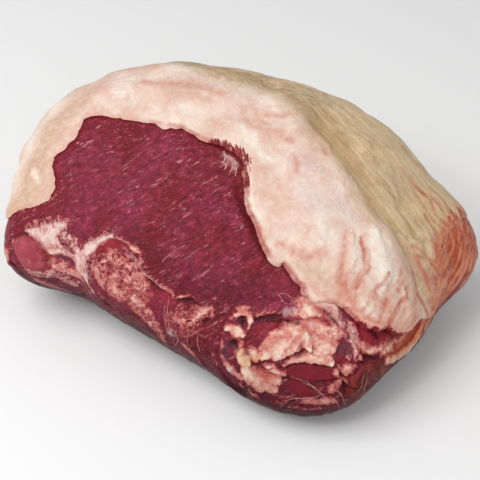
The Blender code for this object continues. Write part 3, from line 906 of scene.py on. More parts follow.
def marks_on(q, marks, profile):
    """For each kind of mark, how far outside it each point lies, and their relief."""
    found, rise, sink = {}, np.zeros(len(q)), np.zeros(len(q))
    for kind, table in marks.items():
        found[kind] = np.full(len(q), BEYOND)
        for height, places in strokes_of(table):
            outside, crown = beside(q, line_on_form(places))
            found[kind] = np.minimum(found[kind], outside)
            lift = height / 1000.0 * profile(np.clip(crown, 0.0, 1.0))
            rise, sink = np.maximum(rise, lift), np.minimum(sink, lift)
    return found, rise, sink


def fields_of(p):
    """How far outside each kind of mark each point lies, how fatty it is, and the relief
    of all strokes together: fat rises, slits sink."""
    q = warped(p)
    found, rise, sink = marks_on(q, MARKS, half_circle)
    fatty = np.zeros(len(p))
    for thick, height, places in strokes_of(FATTY):
        outside, crown = beside(q, line_on_form(places))
        share = gentle(np.clip(LUMP_START - outside / LUMP_SIDE, 0.0, 1.0))
        fatty = np.maximum(fatty, thick * share)
        rise = np.maximum(rise, height / 1000.0 * half_circle(crown))
    uneven = layered(q, LUMP_SIZE, 3, 21.0)
    found["fatty"] = fatty * (1.0 + LUMPS * uneven)
    relief = rise + sink + LUMP_RISE * np.minimum(fatty, 1.0) * uneven
    return found, relief


fields, stroke_relief = fields_of(on_form)
fatty_points = int((fields["fatty"] > 0.5).sum())
print(fatty_points, "points under thick fat or tissue")
print(f"relief from {1000 * stroke_relief.min():.1f} to {1000 * stroke_relief.max():.1f} mm")

# %% [markdown]
# ## The bare meat's relief
#
# The muscles at the face bulge a little between creases. Where the arch of seam fat will
# lie the meat is lower, and it is lower near the rim too, because the fat stands proud.

# %% The meat's relief
FAT_DEEP, FAT_FILLS = 0.011, 0.060  # thickness far from the rim, and how far it takes
GAP = 0.0005  # between meat and fat along the radius, so about 0.3 mm across
FACE_RISE = 0.032  # how far from the rim the bare meat takes to come up to the form
SINK_POWER = 12.0
CUT_RISE, CUT_SIZE = 0.0005, 0.016  # unevenness of the knife's cut
TORN_RISE, TORN_SIZE = 0.0011, 0.007  # and of the torn lower front
TORN_BELOW, TORN_FADE = 0.105, 0.04

# Swells (+) and dips (-) of the bare meat: middle, radius and height.
MEAT_SWELLS = (
    ((-0.117, -0.116, 0.075), 0.017, 0.0045),  # small oval muscle at the left end
    ((-0.096, -0.109, 0.075), 0.010, -0.0045),  # crease on its right
    ((-0.136, -0.122, 0.069), 0.009, -0.0025),  # crease on its left
    ((-0.084, -0.112, 0.053), 0.014, -0.0030),
    ((-0.043, -0.106, 0.078), 0.028, 0.0035),  # pad with pale marbling
    ((0.015, -0.106, 0.074), 0.012, -0.0045),  # slit between the two pads
    ((0.024, -0.116, 0.061), 0.020, 0.0025),  # second pad
    ((-0.020, -0.119, 0.037), 0.022, -0.0020),
    ((0.116, -0.120, 0.050), 0.024, -0.0050),  # dark muscle inside the arch of fat
    ((0.166, -0.100, 0.047), 0.020, -0.0035),  # thin skin at the right front
)
# The arch of loose fat low at the right front: its middle line and half width.
ARCH = (
    ((0.074, -0.133, 0.032), 0.012),
    ((0.067, -0.126, 0.047), 0.014),
    ((0.060, -0.116, 0.060), 0.012),
    ((0.066, -0.106, 0.068), 0.012),
    ((0.080, -0.101, 0.071), 0.015),
    ((0.096, -0.099, 0.071), 0.016),
    ((0.112, -0.096, 0.072), 0.015),
    ((0.127, -0.092, 0.073), 0.014),
    ((0.142, -0.094, 0.069), 0.010),
    ((0.153, -0.101, 0.060), 0.008),
    ((0.157, -0.110, 0.048), 0.007),
)
ARCH_BED = 0.0050  # the meat is lower under it
BED_SIDE = 0.0045  # and comes up to the form over this far at its side
arch_line = spline([(*place, half) for place, half in ARCH], SPLINE_STEPS)


def fat_thickness(far, thick):
    """From the rim's thickness to FAT_DEEP, most of it over FAT_FILLS."""
    return thick + (FAT_DEEP - thick) * (1.0 - np.exp(-far / FAT_FILLS))


def bare_sink(p, line, thick):
    """How far the bare meat lies under the form. Each place of the rim would sink it by
    the thickness there, fading with distance, and a mean of high power takes the deepest
    of these without a crease where two places are equally near."""
    def deepest(part):
        away = np.sqrt(squares(part, line).clip(0.0))
        each = (thick + GAP) * np.exp(-away / FACE_RISE)
        share = np.exp(-SINK_POWER * away / FACE_RISE)
        return np.sum(each * share, axis=1) / np.sum(share, axis=1)
    return by_chunks(deepest, p)


def meat_relief(p):
    """Round swells and dips, and how far each point is in the arch's bed, from 0 to 1."""
    relief = 0.0
    for middle, radius, height in MEAT_SWELLS:
        relief = relief + height * np.exp(-dot(p - middle, p - middle) / radius**2)
    outside, _ = beside(p, arch_line)
    return relief, gentle(np.clip(-outside / BED_SIDE, 0.0, 1.0))


def grain_relief(p):
    """Low unevenness of a knife's cut, and a coarser one on the torn lower front."""
    lower = np.clip((TORN_BELOW - p[:, 2]) / TORN_FADE, 0.0, 1.0)
    cut, torn = layered(p, CUT_SIZE, 3, 5.5), layered(p, TORN_SIZE, 3, 9.1)
    return CUT_RISE * cut + lower * TORN_RISE * torn


print(f"the arch's middle line is {len(arch_line)} places long")

# %% [markdown]
# ## The lean meat
#
# The meat runs in one piece from under the fat to the bare face. Where fat covers it, it
# is sunk by the fat's thickness. Past the rim it comes up again to the form. Its skin
# becomes a mesh in one go, from whole arrays of points and faces.

# %% The lean meat's skin
RELIEF_RISE = 0.010  # how far from the rim the relief takes to begin


def skin(name, points, faces, values=None):
    """A smooth mesh object from whole arrays, with a number for each point under each name
    in values."""
    mesh = bpy.data.meshes.new(name)
    mesh.vertices.add(len(points))
    mesh.vertices.foreach_set("co", points.astype(np.float32).ravel())
    mesh.loops.add(faces.size)
    mesh.loops.foreach_set("vertex_index", faces.astype(np.int32).ravel())
    mesh.polygons.add(len(faces))
    mesh.polygons.foreach_set("loop_start", np.arange(0, faces.size, faces.shape[1], dtype=np.int32))
    mesh.update(calc_edges=True)
    mesh.shade_smooth()
    for kind, value in (values or {}).items():
        layer = mesh.attributes.new(kind, "FLOAT", "POINT")
        layer.data.foreach_set("value", value.astype(np.float32))
    thing = bpy.data.objects.new(name, mesh)
    bpy.context.scene.collection.objects.link(thing)
    return thing


def volume_of(points, faces):
    corner = points[faces[:, 0]], points[faces[:, 1]], points[faces[:, 2]]
    return dot(corner[0], np.cross(corner[1], corner[2])).sum() / 6.0


relief, arch_bed = meat_relief(on_form)
relief = relief - ARCH_BED * arch_bed + stroke_relief * (1.0 - arch_bed) + grain_relief(on_form)
relief = relief * (1.0 - np.exp(-from_rim / RELIEF_RISE))
under = fat_thickness(from_rim, rim_thick) + GAP
bare = bare_sink(on_form, on_form[on_rim], rim_thick[on_rim])
meat_radius = form - np.where(fat_here, under, bare) + np.where(fat_here, 0.0, relief)
meat_points = points_at(directions, meat_radius)
meat = skin("lean", meat_points, triangles, {**fields, "rim": from_rim})
print(f"lean: {volume_of(meat_points, triangles) * 1000:.2f} litres")

# %% [markdown]
# ## The fat cap
#
# The fat swells softly, and a fold runs down it towards the small end. Its strokes give
# the lobes and valleys. All of this fades out close to the rim, where the cap ends in a
# round lip.

# %% The fat cap's relief
# The fold's middle line.
FOLD = (
    (0.056, 0.049, 0.158),
    (0.078, 0.034, 0.151),
    (0.099, 0.022, 0.140),
    (0.118, 0.007, 0.127),
    (0.135, 0.001, 0.118),
    (0.149, -0.003, 0.108),
    (0.166, -0.011, 0.093),
    (0.176, -0.018, 0.078),
)
FOLD_DEPTH, FOLD_WIDTH, FOLD_LIPS = 0.0026, 0.009, 0.5
# Each wave of the swell: its length, the bearing of its way in degrees, and its phase.
FAT_WAVES = ((0.052, 25.0, 0.3), (0.037, 110.0, 1.9), (0.071, 160.0, 4.1))
FAT_SWELL, SWELL_CLIMB = 0.0009, 0.4
FAT_RISE, FAT_LUMP_SIZE = 0.0016, 0.022
LIP_ROUND = 0.0050  # how far from the rim the lip's rounding begins
LIP_DROP = 0.45  # share of the thickness that the skin has come down at the rim


def fat_relief(p):
    """Low swells, and the fold: a trough with a soft lip on either side."""
    swell = 0.0
    for length, turn, phase in FAT_WAVES:
        way = np.array([np.cos(np.radians(turn)), np.sin(np.radians(turn)), SWELL_CLIMB])
        swell = swell + np.sin(2 * np.pi * dot(p, way) / length + phase)
    off = np.square(far_from_line(p, spline(FOLD, SPLINE_STEPS)) / FOLD_WIDTH)
    fold = FOLD_DEPTH * (FOLD_LIPS * off - 1.0) * np.exp(-off / 2.0)
    return FAT_SWELL * swell + fold + FAT_RISE * layered(p, FAT_LUMP_SIZE, 3, 2.2)


used, fat_faces = np.unique(triangles[under_fat], return_inverse=True)
fat_faces = fat_faces.reshape(-1, 3)
fat_form, fat_ways, fat_rim = on_form[used], directions[used], from_rim[used]
come_down = rim_thick[used] * LIP_DROP * np.square(np.clip(1.0 - fat_rim / LIP_ROUND, 0.0, 1.0))
cap_fields, cap_rise, cap_sink = marks_on(warped(fat_form), CAP_MARKS, gentle)
fat_lift = (fat_relief(fat_form) + cap_rise + cap_sink) * (1.0 - np.exp(-fat_rim / RELIEF_RISE))
fat_top = points_at(fat_ways, form[used] - come_down + fat_lift)
fat_under = points_at(fat_ways, meat_radius[used] + GAP)
print(f"the cap's relief runs from {1000 * fat_lift.min():.1f} to {1000 * fat_lift.max():.1f} mm")

# %% [markdown]
# ## The lip
#
# The fat is a closed shell: its own skin, an underside that follows the meat, and a round
# lip between them that stands proud of the bare face and leans over it a little. The lip
# is four more rows of points between the upper edge and the lower one.

# %% The lip
LIP_ROWS, LIP_LEAN = 4, 0.30  # rows of the lip's side, and its lean as a share of the thickness

fat_sides, open_side = sides_of(fat_faces)
side_a, side_b = fat_sides[open_side].T
outward = np.zeros((len(used), 3))
push = np.cross(unit(fat_top[side_b] - fat_top[side_a]), fat_ways[side_a])
np.add.at(outward, side_a, push)
np.add.at(outward, side_b, push)
lip_start, lip_place = np.unique(np.concatenate([side_a, side_b]), return_inverse=True)
lean_over = unit(outward[lip_start]) * (rim_thick[used][lip_start] * LIP_LEAN)[:, None]
lip_rows = [
    fat_top[lip_start] * (1 - s) + fat_under[lip_start] * s + lean_over * np.sin(np.pi * s)
    for s in np.linspace(0.0, 1.0, LIP_ROWS + 2)[1:-1]
]
count, lips = len(used), len(lip_start)
added = [2 * count + lips * k + np.arange(lips) for k in range(LIP_ROWS)]
row_numbers = [lip_start, *added, lip_start + count]
a, b = lip_place.reshape(2, -1)
edge_faces = [halves(hi[b], hi[a], lo[a], lo[b]) for hi, lo in zip(row_numbers[:-1], row_numbers[1:])]
fat_points = np.vstack([fat_top, fat_under, *lip_rows])
fat_all_faces = np.vstack([fat_faces, fat_faces[:, ::-1] + count, *edge_faces])
print(lips, "points round the lip's upper edge")

# %% [markdown]
# ## Behind the crest
#
# The dried outer skin is tan from the crest backwards. The crest is one more line, and each
# point of the fat keeps how far behind it it lies. Like the distance from the rim and the
# marks' distances, that number stays with the mesh for the finish to read.

# %% The fat cap's skin
# The crest line: unseen places in metres, then pixels.
CREST_HIDDEN = ((-0.190, 0.010, 0.080), (-0.150, 0.040, 0.130), (-0.100, 0.058, 0.155))
CREST_SEEN = """
    192,66 212,76 232,82 256,86 272,92 282,99 297,112 311,130 327,141 338,158 352,181 369,207
    386,228 402,246 411,262 417,284 424,300 431,318
"""


def past_crest(p):
    """How far behind the crest line each point is, seen from above."""
    line = spline(np.vstack([CREST_HIDDEN, lifted(numbers(CREST_SEEN))]), RIM_STEPS)
    nearest = by_chunks(lambda part: np.argmin(squares(part, line), axis=-1), p)
    ahead = unit(np.gradient(line, axis=0))
    behind = unit(np.stack([-ahead[:, 1], ahead[:, 0], 0 * ahead[:, 0]], -1))
    return dot(p - line[nearest], behind[nearest])


place_in_used = np.concatenate([np.arange(count), np.arange(count), *[lip_start] * LIP_ROWS])
source = used[place_in_used]
fat_fields = {kind: value[place_in_used] for kind, value in cap_fields.items()}
fat_fields["rim"] = from_rim[source]
fat_fields["behind"] = past_crest(on_form)[source]
fat = skin("fat", fat_points, fat_all_faces, fat_fields)
print(f"fat cap: {volume_of(fat_points, fat_all_faces) * 1000:.2f} litres, {len(fat_all_faces)} triangles")

# %% [markdown]
# ## The seam fat's band
#
# Low at the right front hangs an arch of loose trim fat. Its band follows one middle line
# over the meat: one parameter runs along it and the other across and back underneath. Rays
# from the heart find the bed of meat that it lies in.

# %% The band
ARCH_ROWS, ARCH_ACROSS, ARCH_UNDER = 400, 90, 12
ARCH_TIP, ARCH_BLUNT = 0.35, 8  # its width at both ends as a share, and how late it narrows
ARCH_WIDER = 1.12
BED_EVERY, BED_COLUMNS = 4, 16  # the bed is measured in every fourth row, at this many places

heart_point = Vector(HEART)


def tree_of(thing):
    """A search tree that rays can be cast on."""
    return BVHTree.FromObject(thing, bpy.context.evaluated_depsgraph_get())


meat_tree = tree_of(meat)


def ray_radius(d):
    """From HEART along each direction to the meat's skin."""
    lengths = [meat_tree.ray_cast(heart_point, Vector(v))[3] for v in d.reshape(-1, 3)]
    return np.array(lengths).reshape(d.shape[:-1])


def at_places(rows, where, along=None):
    """Rows between the rows of a table, by straight lines. where says how far along each of
    them lies, counted in rows or in the lengths given as along."""
    along = np.arange(len(rows)) if along is None else along
    return np.stack([np.interp(where, along, column) for column in rows.T], 1)


def band(across):
    """Directions over the band: the middle line plus a share of the half width aside."""
    wide = (arch_half * arch_end)[:, None] * ARCH_WIDER
    return unit(arch_middle[:, None] + aside[:, None] * (across[None] * wide)[..., None] - HEART)


def stretched_bed(across_now):
    """The bed's radius between the places where it was measured."""
    by_column = at_places(bed_radius, rows_at, rows_at[measured])
    return at_places(by_column.T, across_now, bed_across).T


arch_along = np.append(0.0, np.cumsum(np.linalg.norm(np.diff(arch_line[:, :3], axis=0), axis=1)))
wanted = np.linspace(0.0, arch_along[-1], ARCH_ROWS)
arch_line = at_places(arch_line, wanted, arch_along)
arch_middle, arch_half = arch_line[:, :3], arch_line[:, 3]
aside = unit(np.cross(unit(np.gradient(arch_middle, axis=0)), unit(arch_middle - HEART)))
from_middle = 2.0 * wanted / arch_along[-1] - 1.0
arch_end = np.maximum(np.sqrt(np.clip(1.0 - from_middle**ARCH_BLUNT, 0.0, 1.0)), ARCH_TIP)

rows_at, measured = np.linspace(0.0, 1.0, ARCH_ROWS), slice(None, None, BED_EVERY)
bed_across = np.linspace(-1.0, 1.0, BED_COLUMNS)
bed_radius = ray_radius(band(bed_across)[measured])
print(f"the arch is {1000 * arch_along[-1]:.0f} mm long; bed measured by {bed_radius.size} rays")

# %% [markdown]
# ## The seam fat
#
# The band's top takes the same strokes as the meat, so the lumps of fat on it go on where
# they left off. Towards its sides it sinks into the meat and grows out of it.

# %% The seam fat's skin
SIDE_UNDER, UNDER_DEEP = 0.0008, 0.0016  # how far its sides and its underside are in the meat
CROWN_CLIMB = 1.8
SEAM_RISE, SEAM_SIZE = 0.0006, 0.004  # its own fine unevenness

across = np.linspace(-1.0, 1.0, ARCH_ACROSS + 1)
top_d = band(across)
flat_d = top_d.reshape(-1, 3)
top_form = form_radius(flat_d)
seam_on_form = HEART + flat_d * top_form[:, None]
seam_fields, seam_relief = fields_of(seam_on_form)
crown = np.sqrt(1.0 - np.square(across))[None] * arch_end[:, None]
lumpy = grain_relief(seam_on_form) + SEAM_RISE * layered(seam_on_form, SEAM_SIZE, 2, 3.0)
level = top_form.reshape(crown.shape) + (seam_relief + lumpy).reshape(crown.shape)
bed_now = stretched_bed(across)
climb = gentle(np.clip(crown * CROWN_CLIMB, 0.0, 1.0))
top_r = bed_now - SIDE_UNDER + (level - bed_now + SIDE_UNDER) * climb
under_across = np.linspace(1.0, -1.0, ARCH_UNDER + 1)
low_r = stretched_bed(under_across[::-1])[:, ::-1] - UNDER_DEEP
loop = np.concatenate([
    HEART + top_d * top_r[..., None],
    HEART + band(under_across) * low_r[..., None],
], axis=1)

number = np.arange(loop.shape[0] * loop.shape[1]).reshape(loop.shape[:2])
closed = np.hstack([number, number[:, :1]])
seam_points = np.vstack([loop.reshape(-1, 3), loop[0].mean(axis=0), loop[-1].mean(axis=0)])
seam_faces = np.concatenate([
    halves(closed[:-1, :-1], closed[1:, :-1], closed[1:, 1:], closed[:-1, 1:]),
    fan(number.size, number[0]),
    fan(number.size + 1, number[-1][::-1]),
])
if volume_of(seam_points, seam_faces) < 0:
    seam_faces = seam_faces[:, ::-1]


def over_loop(value, default):
    """A value on the band's top, and a default on its underside and tips."""
    full = np.full(loop.shape[:2], default)
    full[:, : ARCH_ACROSS + 1] = value.reshape(crown.shape)
    return np.append(full.ravel(), [default, default])


seam_values = {kind: over_loop(value, BEYOND) for kind, value in seam_fields.items()}
seam_values["fatty"] = over_loop(seam_fields["fatty"], 0.0)
seam_values["rim"] = np.full(len(seam_points), BEYOND)
seam = skin("seam_trim", seam_points, seam_faces, seam_values)
print(f"seam fat: {volume_of(seam_points, seam_faces) * 1e6:.1f} ml, {len(seam_faces)} triangles")

# %% [markdown]
# ## Threads, fringes and glints
#
# Where muscles were pulled apart, threads of connective tissue stay behind, and torn edges
# end in a fringe. The long threads follow the picture. A fringe needs only its line: its
# threads leave that line at even steps, each shifted, turned and lengthened by chance. Three
# short pale tubes on the oval muscle are not threads but painted highlights, its moist glints.

# %% The threads' paths
# Each thread: its half width in mm, then its places in pixels.
THREADS_AND_GLINTS = (
    (0.60, "225,149 224,156 221,162"),
    (0.70, "229,152 227,160 223,168"),
    (0.65, "233,156 232,164 228,171"),
    (0.55, "237,160 236,167 235,173"),
    (0.55, "231,157 226,161 220,163"),
    (0.26, "272,295 280,297.5 284,303 287,304"),
    (0.28, "280,296 288,297 294,301 300.5,301.6 304.6,301"),
    (0.34, "276,315 281,311 286,307"),
    (0.28, "369,373 367,384 363,393 356,401"),
    (0.24, "373,372 371,384 366,397 361,410"),
    (0.26, "303,387 316,391 322,396 327,402"),
    (0.28, "289,377 300,380 311,388 322,398"),
    (0.26, "278,410 294,402 312,401 328,396"),
    (0.30, "331,393 338,393 343,398 346,407"),
    (0.24, "330,398 336,402 340,409"),
    (0.40, "138,257 143,268 151,277 160,285 168,291 172,295"),
    (0.40, "132,250 137,258 140,270 148,278"),
    (0.22, "165,303 163,315 167,330"),
    (0.22, "168,296 167,308 169,322 166,334"),
    (0.40, "113,236 121,238 129,243"),
    (0.35, "92,262 99,272 108,281 113,292"),
    (0.26, "76,262 84,274 92,288 97,298"),
    (0.26, "72,268 80,280 88,292"),
    (0.40, "60,250 68,258 76,270 84,284"),
    # The next three are not threads but painted highlights: pale glints on the oval muscle.
    (0.50, "28,254 28.5,257 29,259.5"),
    (0.50, "31,256 34,258 36,262"),
    (0.45, "17,239 16.6,243 17.5,246"),
    (0.40, "24,263 26,266 27,269"),
    (0.22, "176,329 178,338 174,346"),
    (0.22, "190,328 187,338 190,350"),
    (0.22, "199,330 197,341 200,352"),
)
# Each fringe: how many threads, their length in pixels, which way they point, and its line.
FRINGES = (
    (34, 5.0, (-0.10, -1.0), "25,229 36,226 50,223 66,223"),
    (26, 5.0, (-0.30, -1.0), "80,248 92,243 104,236.5 115,233"),
    (22, 8.0, (-0.55, 0.85), "223,148 231,154 239,163"),
    (16, 4.0, (1.0, -0.35), "141,260 148,273 158,283 168,292"),
    (12, 5.0, (-0.9, -0.5), "126,247 134,254 140,262"),
    (14, 6.0, (0.55, 0.85), "58,232 62,244 66,254"),
)
FRINGE_HALF, FRINGE_SPREAD = 0.26, 0.5  # mm, and how unevenly it points
FRINGE_SHORT, FRINGE_LONG = 0.4, 1.2  # shares of its length
FRINGE_BEND = 0.25
FRINGE_ROOT, FRINGE_KNEE = 0.3, 0.4  # where a thread begins before the line, and where it bends


def fringe(count, length, way, line):
    """Threads that leave a line: evenly spaced starts, each shifted, turned and
    lengthened by chance."""
    knots = spline(numbers(line), STROKE_STEPS, room=2)
    start = at_places(knots, np.linspace(0, len(knots) - 1, count) + chance.uniform(-0.5, 0.5, count))
    turn = np.arctan2(way[1], way[0]) + chance.normal(0.0, FRINGE_SPREAD, count)
    reach = length * chance.uniform(FRINGE_SHORT, FRINGE_LONG, count)
    step = np.stack([np.cos(turn), np.sin(turn)], 1) * reach[:, None]
    bend = np.stack([-step[:, 1], step[:, 0]], 1) * chance.uniform(-FRINGE_BEND, FRINGE_BEND, (count, 1))
    root, knee = start - step * FRINGE_ROOT, start + step * FRINGE_KNEE + bend
    for places in zip(root, knee, start + step):
        yield FRINGE_HALF, places


paths = [(half_mm, numbers(places)) for half_mm, places in THREADS_AND_GLINTS]
paths += [thread for row in FRINGES for thread in fringe(*row)]
print(len(THREADS_AND_GLINTS), "threads and", len(paths) - len(THREADS_AND_GLINTS), "more in fringes")

# %% [markdown]
# ## Tubes along the paths
#
# Each thread is a tube carried along its path, pointed at both ends and half sunk in what
# it lies on. Rays that come down on the roast find the outermost of the three skins there.

# %% The threads
THREAD_ROWS, THREAD_SIDES = 20, 6
THREAD_RISE, THREAD_FLAT = 0.25, 0.7  # as shares of its half width
THREAD_POINT = 0.06  # how blunt its ends are

trees = [tree_of(thing) for thing in (meat, fat, seam)]


def on_top(d):
    """From HEART along each direction to the outermost of the three skins."""
    hits = [[tree.ray_cast(heart_point + Vector(v) * REACH, -Vector(v))[3] for tree in trees] for v in d]
    nearest = np.min(np.array([[REACH if h is None else h for h in row] for row in hits]), axis=1)
    return REACH - nearest


def tube_along(half_mm, places):
    """One thread. One parameter runs along it and the other round it: a ring of points
    round each place of its path, as wide as a half circle over the share run through."""
    path = spline(places, THREAD_ROWS, room=2)
    path = at_places(path, np.linspace(0, len(path) - 1, THREAD_ROWS))
    d = unit(lifted(path) - HEART)
    middle = HEART + d * (on_top(d) + THREAD_RISE * half_mm / 1000.0)[:, None]
    side = unit(np.cross(unit(np.gradient(middle, axis=0)), d))
    share = np.linspace(-1.0, 1.0, THREAD_ROWS)
    half = half_mm / 1000.0 * np.maximum(np.sqrt(1.0 - share**2), THREAD_POINT)[:, None, None]
    turn = np.linspace(0.0, 2 * np.pi, THREAD_SIDES, endpoint=False)[None, :, None]
    return middle[:, None] + half * (np.cos(turn) * side[:, None] + THREAD_FLAT * np.sin(turn) * d[:, None])


tubes = np.array([tube_along(*path) for path in paths])
rows, turns = np.meshgrid(np.arange(THREAD_ROWS - 1), np.arange(THREAD_SIDES), indexing="ij")
a, b = rows * THREAD_SIDES + turns, rows * THREAD_SIDES + (turns + 1) % THREAD_SIDES
ring = np.arange(THREAD_SIDES)
tip = THREAD_ROWS * THREAD_SIDES
one = np.concatenate([
    halves(a, a + THREAD_SIDES, b + THREAD_SIDES, b),
    fan(tip, ring),
    fan(tip + 1, tip - 1 - ring),
])
tips = tubes[:, [0, -1]].mean(axis=2)
thread_points = np.concatenate([tubes.reshape(len(tubes), -1, 3), tips], axis=1)
if volume_of(thread_points[0], one) < 0:
    one = one[:, ::-1]
thread_faces = (one[None] + (np.arange(len(tubes)) * thread_points.shape[1])[:, None, None]).reshape(-1, 3)
threads = skin("threads", thread_points.reshape(-1, 3), thread_faces)
print(len(tubes), "threads,", len(thread_faces), "triangles")

# %% [markdown]
# ## Arithmetic on sockets
#
# A finish is a network of nodes, and most of it is arithmetic. One small class wraps a
# node's output and overloads the operators, so that a line such as 1 - mask * 0.5 adds the
# Math nodes itself.

# %% Values


class Value:
    """What flows out of a node. Arithmetic on it adds Math nodes to the same finish."""

    def __init__(self, finish, socket):
        self.finish, self.socket = finish, socket

    def __add__(self, other):
        return self.finish.math("ADD", self, other)

    def __sub__(self, other):
        return self.finish.math("SUBTRACT", self, other)

    def __rsub__(self, other):
        return self.finish.math("SUBTRACT", other, self)

    def __mul__(self, other):
        return self.finish.math("MULTIPLY", self, other)

    __radd__, __rmul__ = __add__, __mul__


print("operators on a value:", [name for name in vars(Value) if name.startswith("__r")])

# %% [markdown]
# ## Colours
#
# The picture's colours are stored for the eye, while light adds up evenly, so each colour
# is turned into light first. The studio's floor is brighter than full white paint, and
# every paint is dimmed by as much.

# %% Paint
DIMMED = 0.86


def paint(red, green, blue):
    """A colour as the picture shows it, 0 to 255, turned into light and dimmed. As a tint
    that multiplies another paint, about 270 leaves a channel as it is."""
    share = np.array([red, green, blue]) / 255.0
    linear = DIMMED * np.where(share <= 0.04045, share / 12.92, ((share + 0.055) / 1.055) ** 2.4)
    return (*linear.tolist(), 1.0)


print("white paint is", np.round(paint(255, 255, 255), 2))

# %% [markdown]
# ## A short way to write finishes
#
# Any node comes from one method, which takes its settings and then a value or a link for
# each socket. The rest are names for what meat needs most: noise, noise drawn out into
# fibres, steps, masks for strokes, and mixtures of two paints.

# %% The finish writer


class Finish:
    """A material: its Principled shader and the nodes that feed it."""

    def __init__(self, name, constants):
        self.material = bpy.data.materials.new(name)
        self.material.use_nodes = True
        self.tree = self.material.node_tree
        self.shader = self.tree.nodes["Principled BSDF"]
        for socket, value in constants.items():
            self.shader.inputs[socket].default_value = value
        self.place = self.node("ShaderNodeTexCoord", {}, {}, "Object")

    def node(self, kind, settings, sockets, out=0):
        """Adds a node: its settings first, then a value or a link for each socket."""
        def found(among, key):
            """A socket by its number, its identifier or its name."""
            named = [s for s in among if key in (s.identifier, s.name)]
            return among[key] if isinstance(key, int) else named[0]

        made = self.tree.nodes.new(kind)
        for key, value in settings.items():
            if key == "stops":
                self.ramp(made.color_ramp, value)
            else:
                setattr(made, key, value)
        for key, value in sockets.items():
            socket = found(made.inputs, key)
            if isinstance(value, Value):
                self.tree.links.new(value.socket, socket)
            else:
                socket.default_value = value
        return Value(self, found(made.outputs, out))

    def ramp(self, ramp, stops):
        """Sets a ramp's stops, each a place from 0 to 1 and a colour from 0 to 255."""
        for place, _ in stops[1:-1]:
            ramp.elements.new(place)
        for stop, (place, colour) in zip(ramp.elements, stops):
            stop.position, stop.color = place, paint(*colour)

    def math(self, operation, *terms):
        return self.node("ShaderNodeMath", {"operation": operation}, dict(enumerate(terms)))

    def vector(self, operation, sockets, out=0):
        return self.node("ShaderNodeVectorMath", {"operation": operation}, sockets, out)

    def field(self, name):
        """A number that the mesh holds for each point."""
        return self.node("ShaderNodeAttribute", {"attribute_name": name}, {}, "Fac")

    def height(self):
        """How far above the table the place is."""
        return self.node("ShaderNodeSeparateXYZ", {}, {"Vector": self.place}, "Z")

    def towards(self, way):
        """How far the place lies towards a direction."""
        return self.vector("DOT_PRODUCT", {0: self.place, 1: way}, "Value")

    def noise(self, size, layers=3.0, rough=0.5, bend=0.0, place=None):
        """Noise from 0 to 1 whose largest features have the given size."""
        sockets = {
            "Vector": place or self.place, "Scale": 1.0 / size, "Detail": layers,
            "Roughness": rough, "Distortion": bend,
        }
        return self.node("ShaderNodeTexNoise", {}, sockets, "Fac")

    def fibres(self, way, length, width, layers, rough, bend):
        """Noise drawn out along a direction: its places are squeezed along it, so that it
        is as long as length and as wide as width."""
        shorter = self.towards(way) * (1.0 / length - 1.0 / width)
        extra = self.vector("SCALE", {0: way, "Scale": shorter})
        even = self.vector("SCALE", {0: self.place, "Scale": 1.0 / width})
        return self.noise(1.0, layers, rough, bend, self.vector("ADD", {0: even, 1: extra}))

    def from_middle(self, noise):
        """How far a noise is from its middle. Where that is little run winding lines."""
        return self.math("ABSOLUTE", noise - 0.5)

    def step(self, value, start, end):
        """0 at start, 1 at end and straight between them; start may be the larger."""
        sockets = {"Value": value, "From Min": start, "From Max": end}
        return self.node("ShaderNodeMapRange", {"clamp": True}, sockets)

    def mask(self, kind, ragged, soft, wobble):
        """1 inside the strokes of a kind and 0 outside. The side wanders by ragged and
        fades over twice soft, both in metres."""
        return self.step(self.field(kind) + (wobble - 0.5) * ragged, soft, -soft)

    def mix(self, share, under, over, blend="MIX"):
        """A colour between two."""
        settings = {"data_type": "RGBA", "blend_type": blend}
        sockets = {"Factor_Float": share, "A_Color": under, "B_Color": over}
        return self.node("ShaderNodeMix", settings, sockets, "Result_Color")

    def tone(self, share, first, second):
        """A colour between two paints."""
        return self.mix(share, paint(*first), paint(*second))

    def tinted(self, share, colour, tint):
        """A colour multiplied by a paint, as far as share says."""
        return self.mix(share, colour, paint(*tint), "MULTIPLY")

    def lit(self, colour, amount):
        """A colour made lighter or darker by a factor."""
        return self.vector("SCALE", {0: colour, "Scale": amount})

    def wear(self, colour, roughness, height, depth):
        """Links colour and roughness, and a height of so many metres as a bump."""
        bump = self.node("ShaderNodeBump", {}, {"Height": height, "Distance": depth})
        for name, value in (("Base Color", colour), ("Roughness", roughness), ("Normal", bump)):
            self.tree.links.new(value.socket, self.shader.inputs[name])


print("names for nodes:", [name for name in vars(Finish) if not name.startswith("_")])

# %% [markdown]
# ## The ways of the fibres
#
# Fibres, hairs and wrinkles all run somewhere. Their directions are taken from the picture
# too: from a slope on the face, or from two places on the form.

# %% Directions


def on_face(right, up):
    """The direction in the plane of the face that looks like this in the picture."""
    flat = right * RIGHT + up * UPWARD
    return unit(flat - BACK * dot(flat, FACE_NORMAL) / dot(BACK, FACE_NORMAL))


def between(start, end):
    """The direction from one pixel's place on the form to another's."""
    return tuple(unit(np.diff(lifted([start, end]), axis=0)[0]))


GRAIN = tuple(on_face(0.86, 0.51))
HAIRS = tuple(on_face(-0.15, 1.0))
SMALL_END = between((434, 312), (462, 236))
WRINKLES = between((352, 112), (440, 214))
FAN = between((366, 322), (392, 288))
FAR_SIDE = tuple(unit(-BACK * (1.0, 1.0, 0.0)))  # away from the side that the picture shows
print("the grain runs along", np.round(GRAIN, 2))
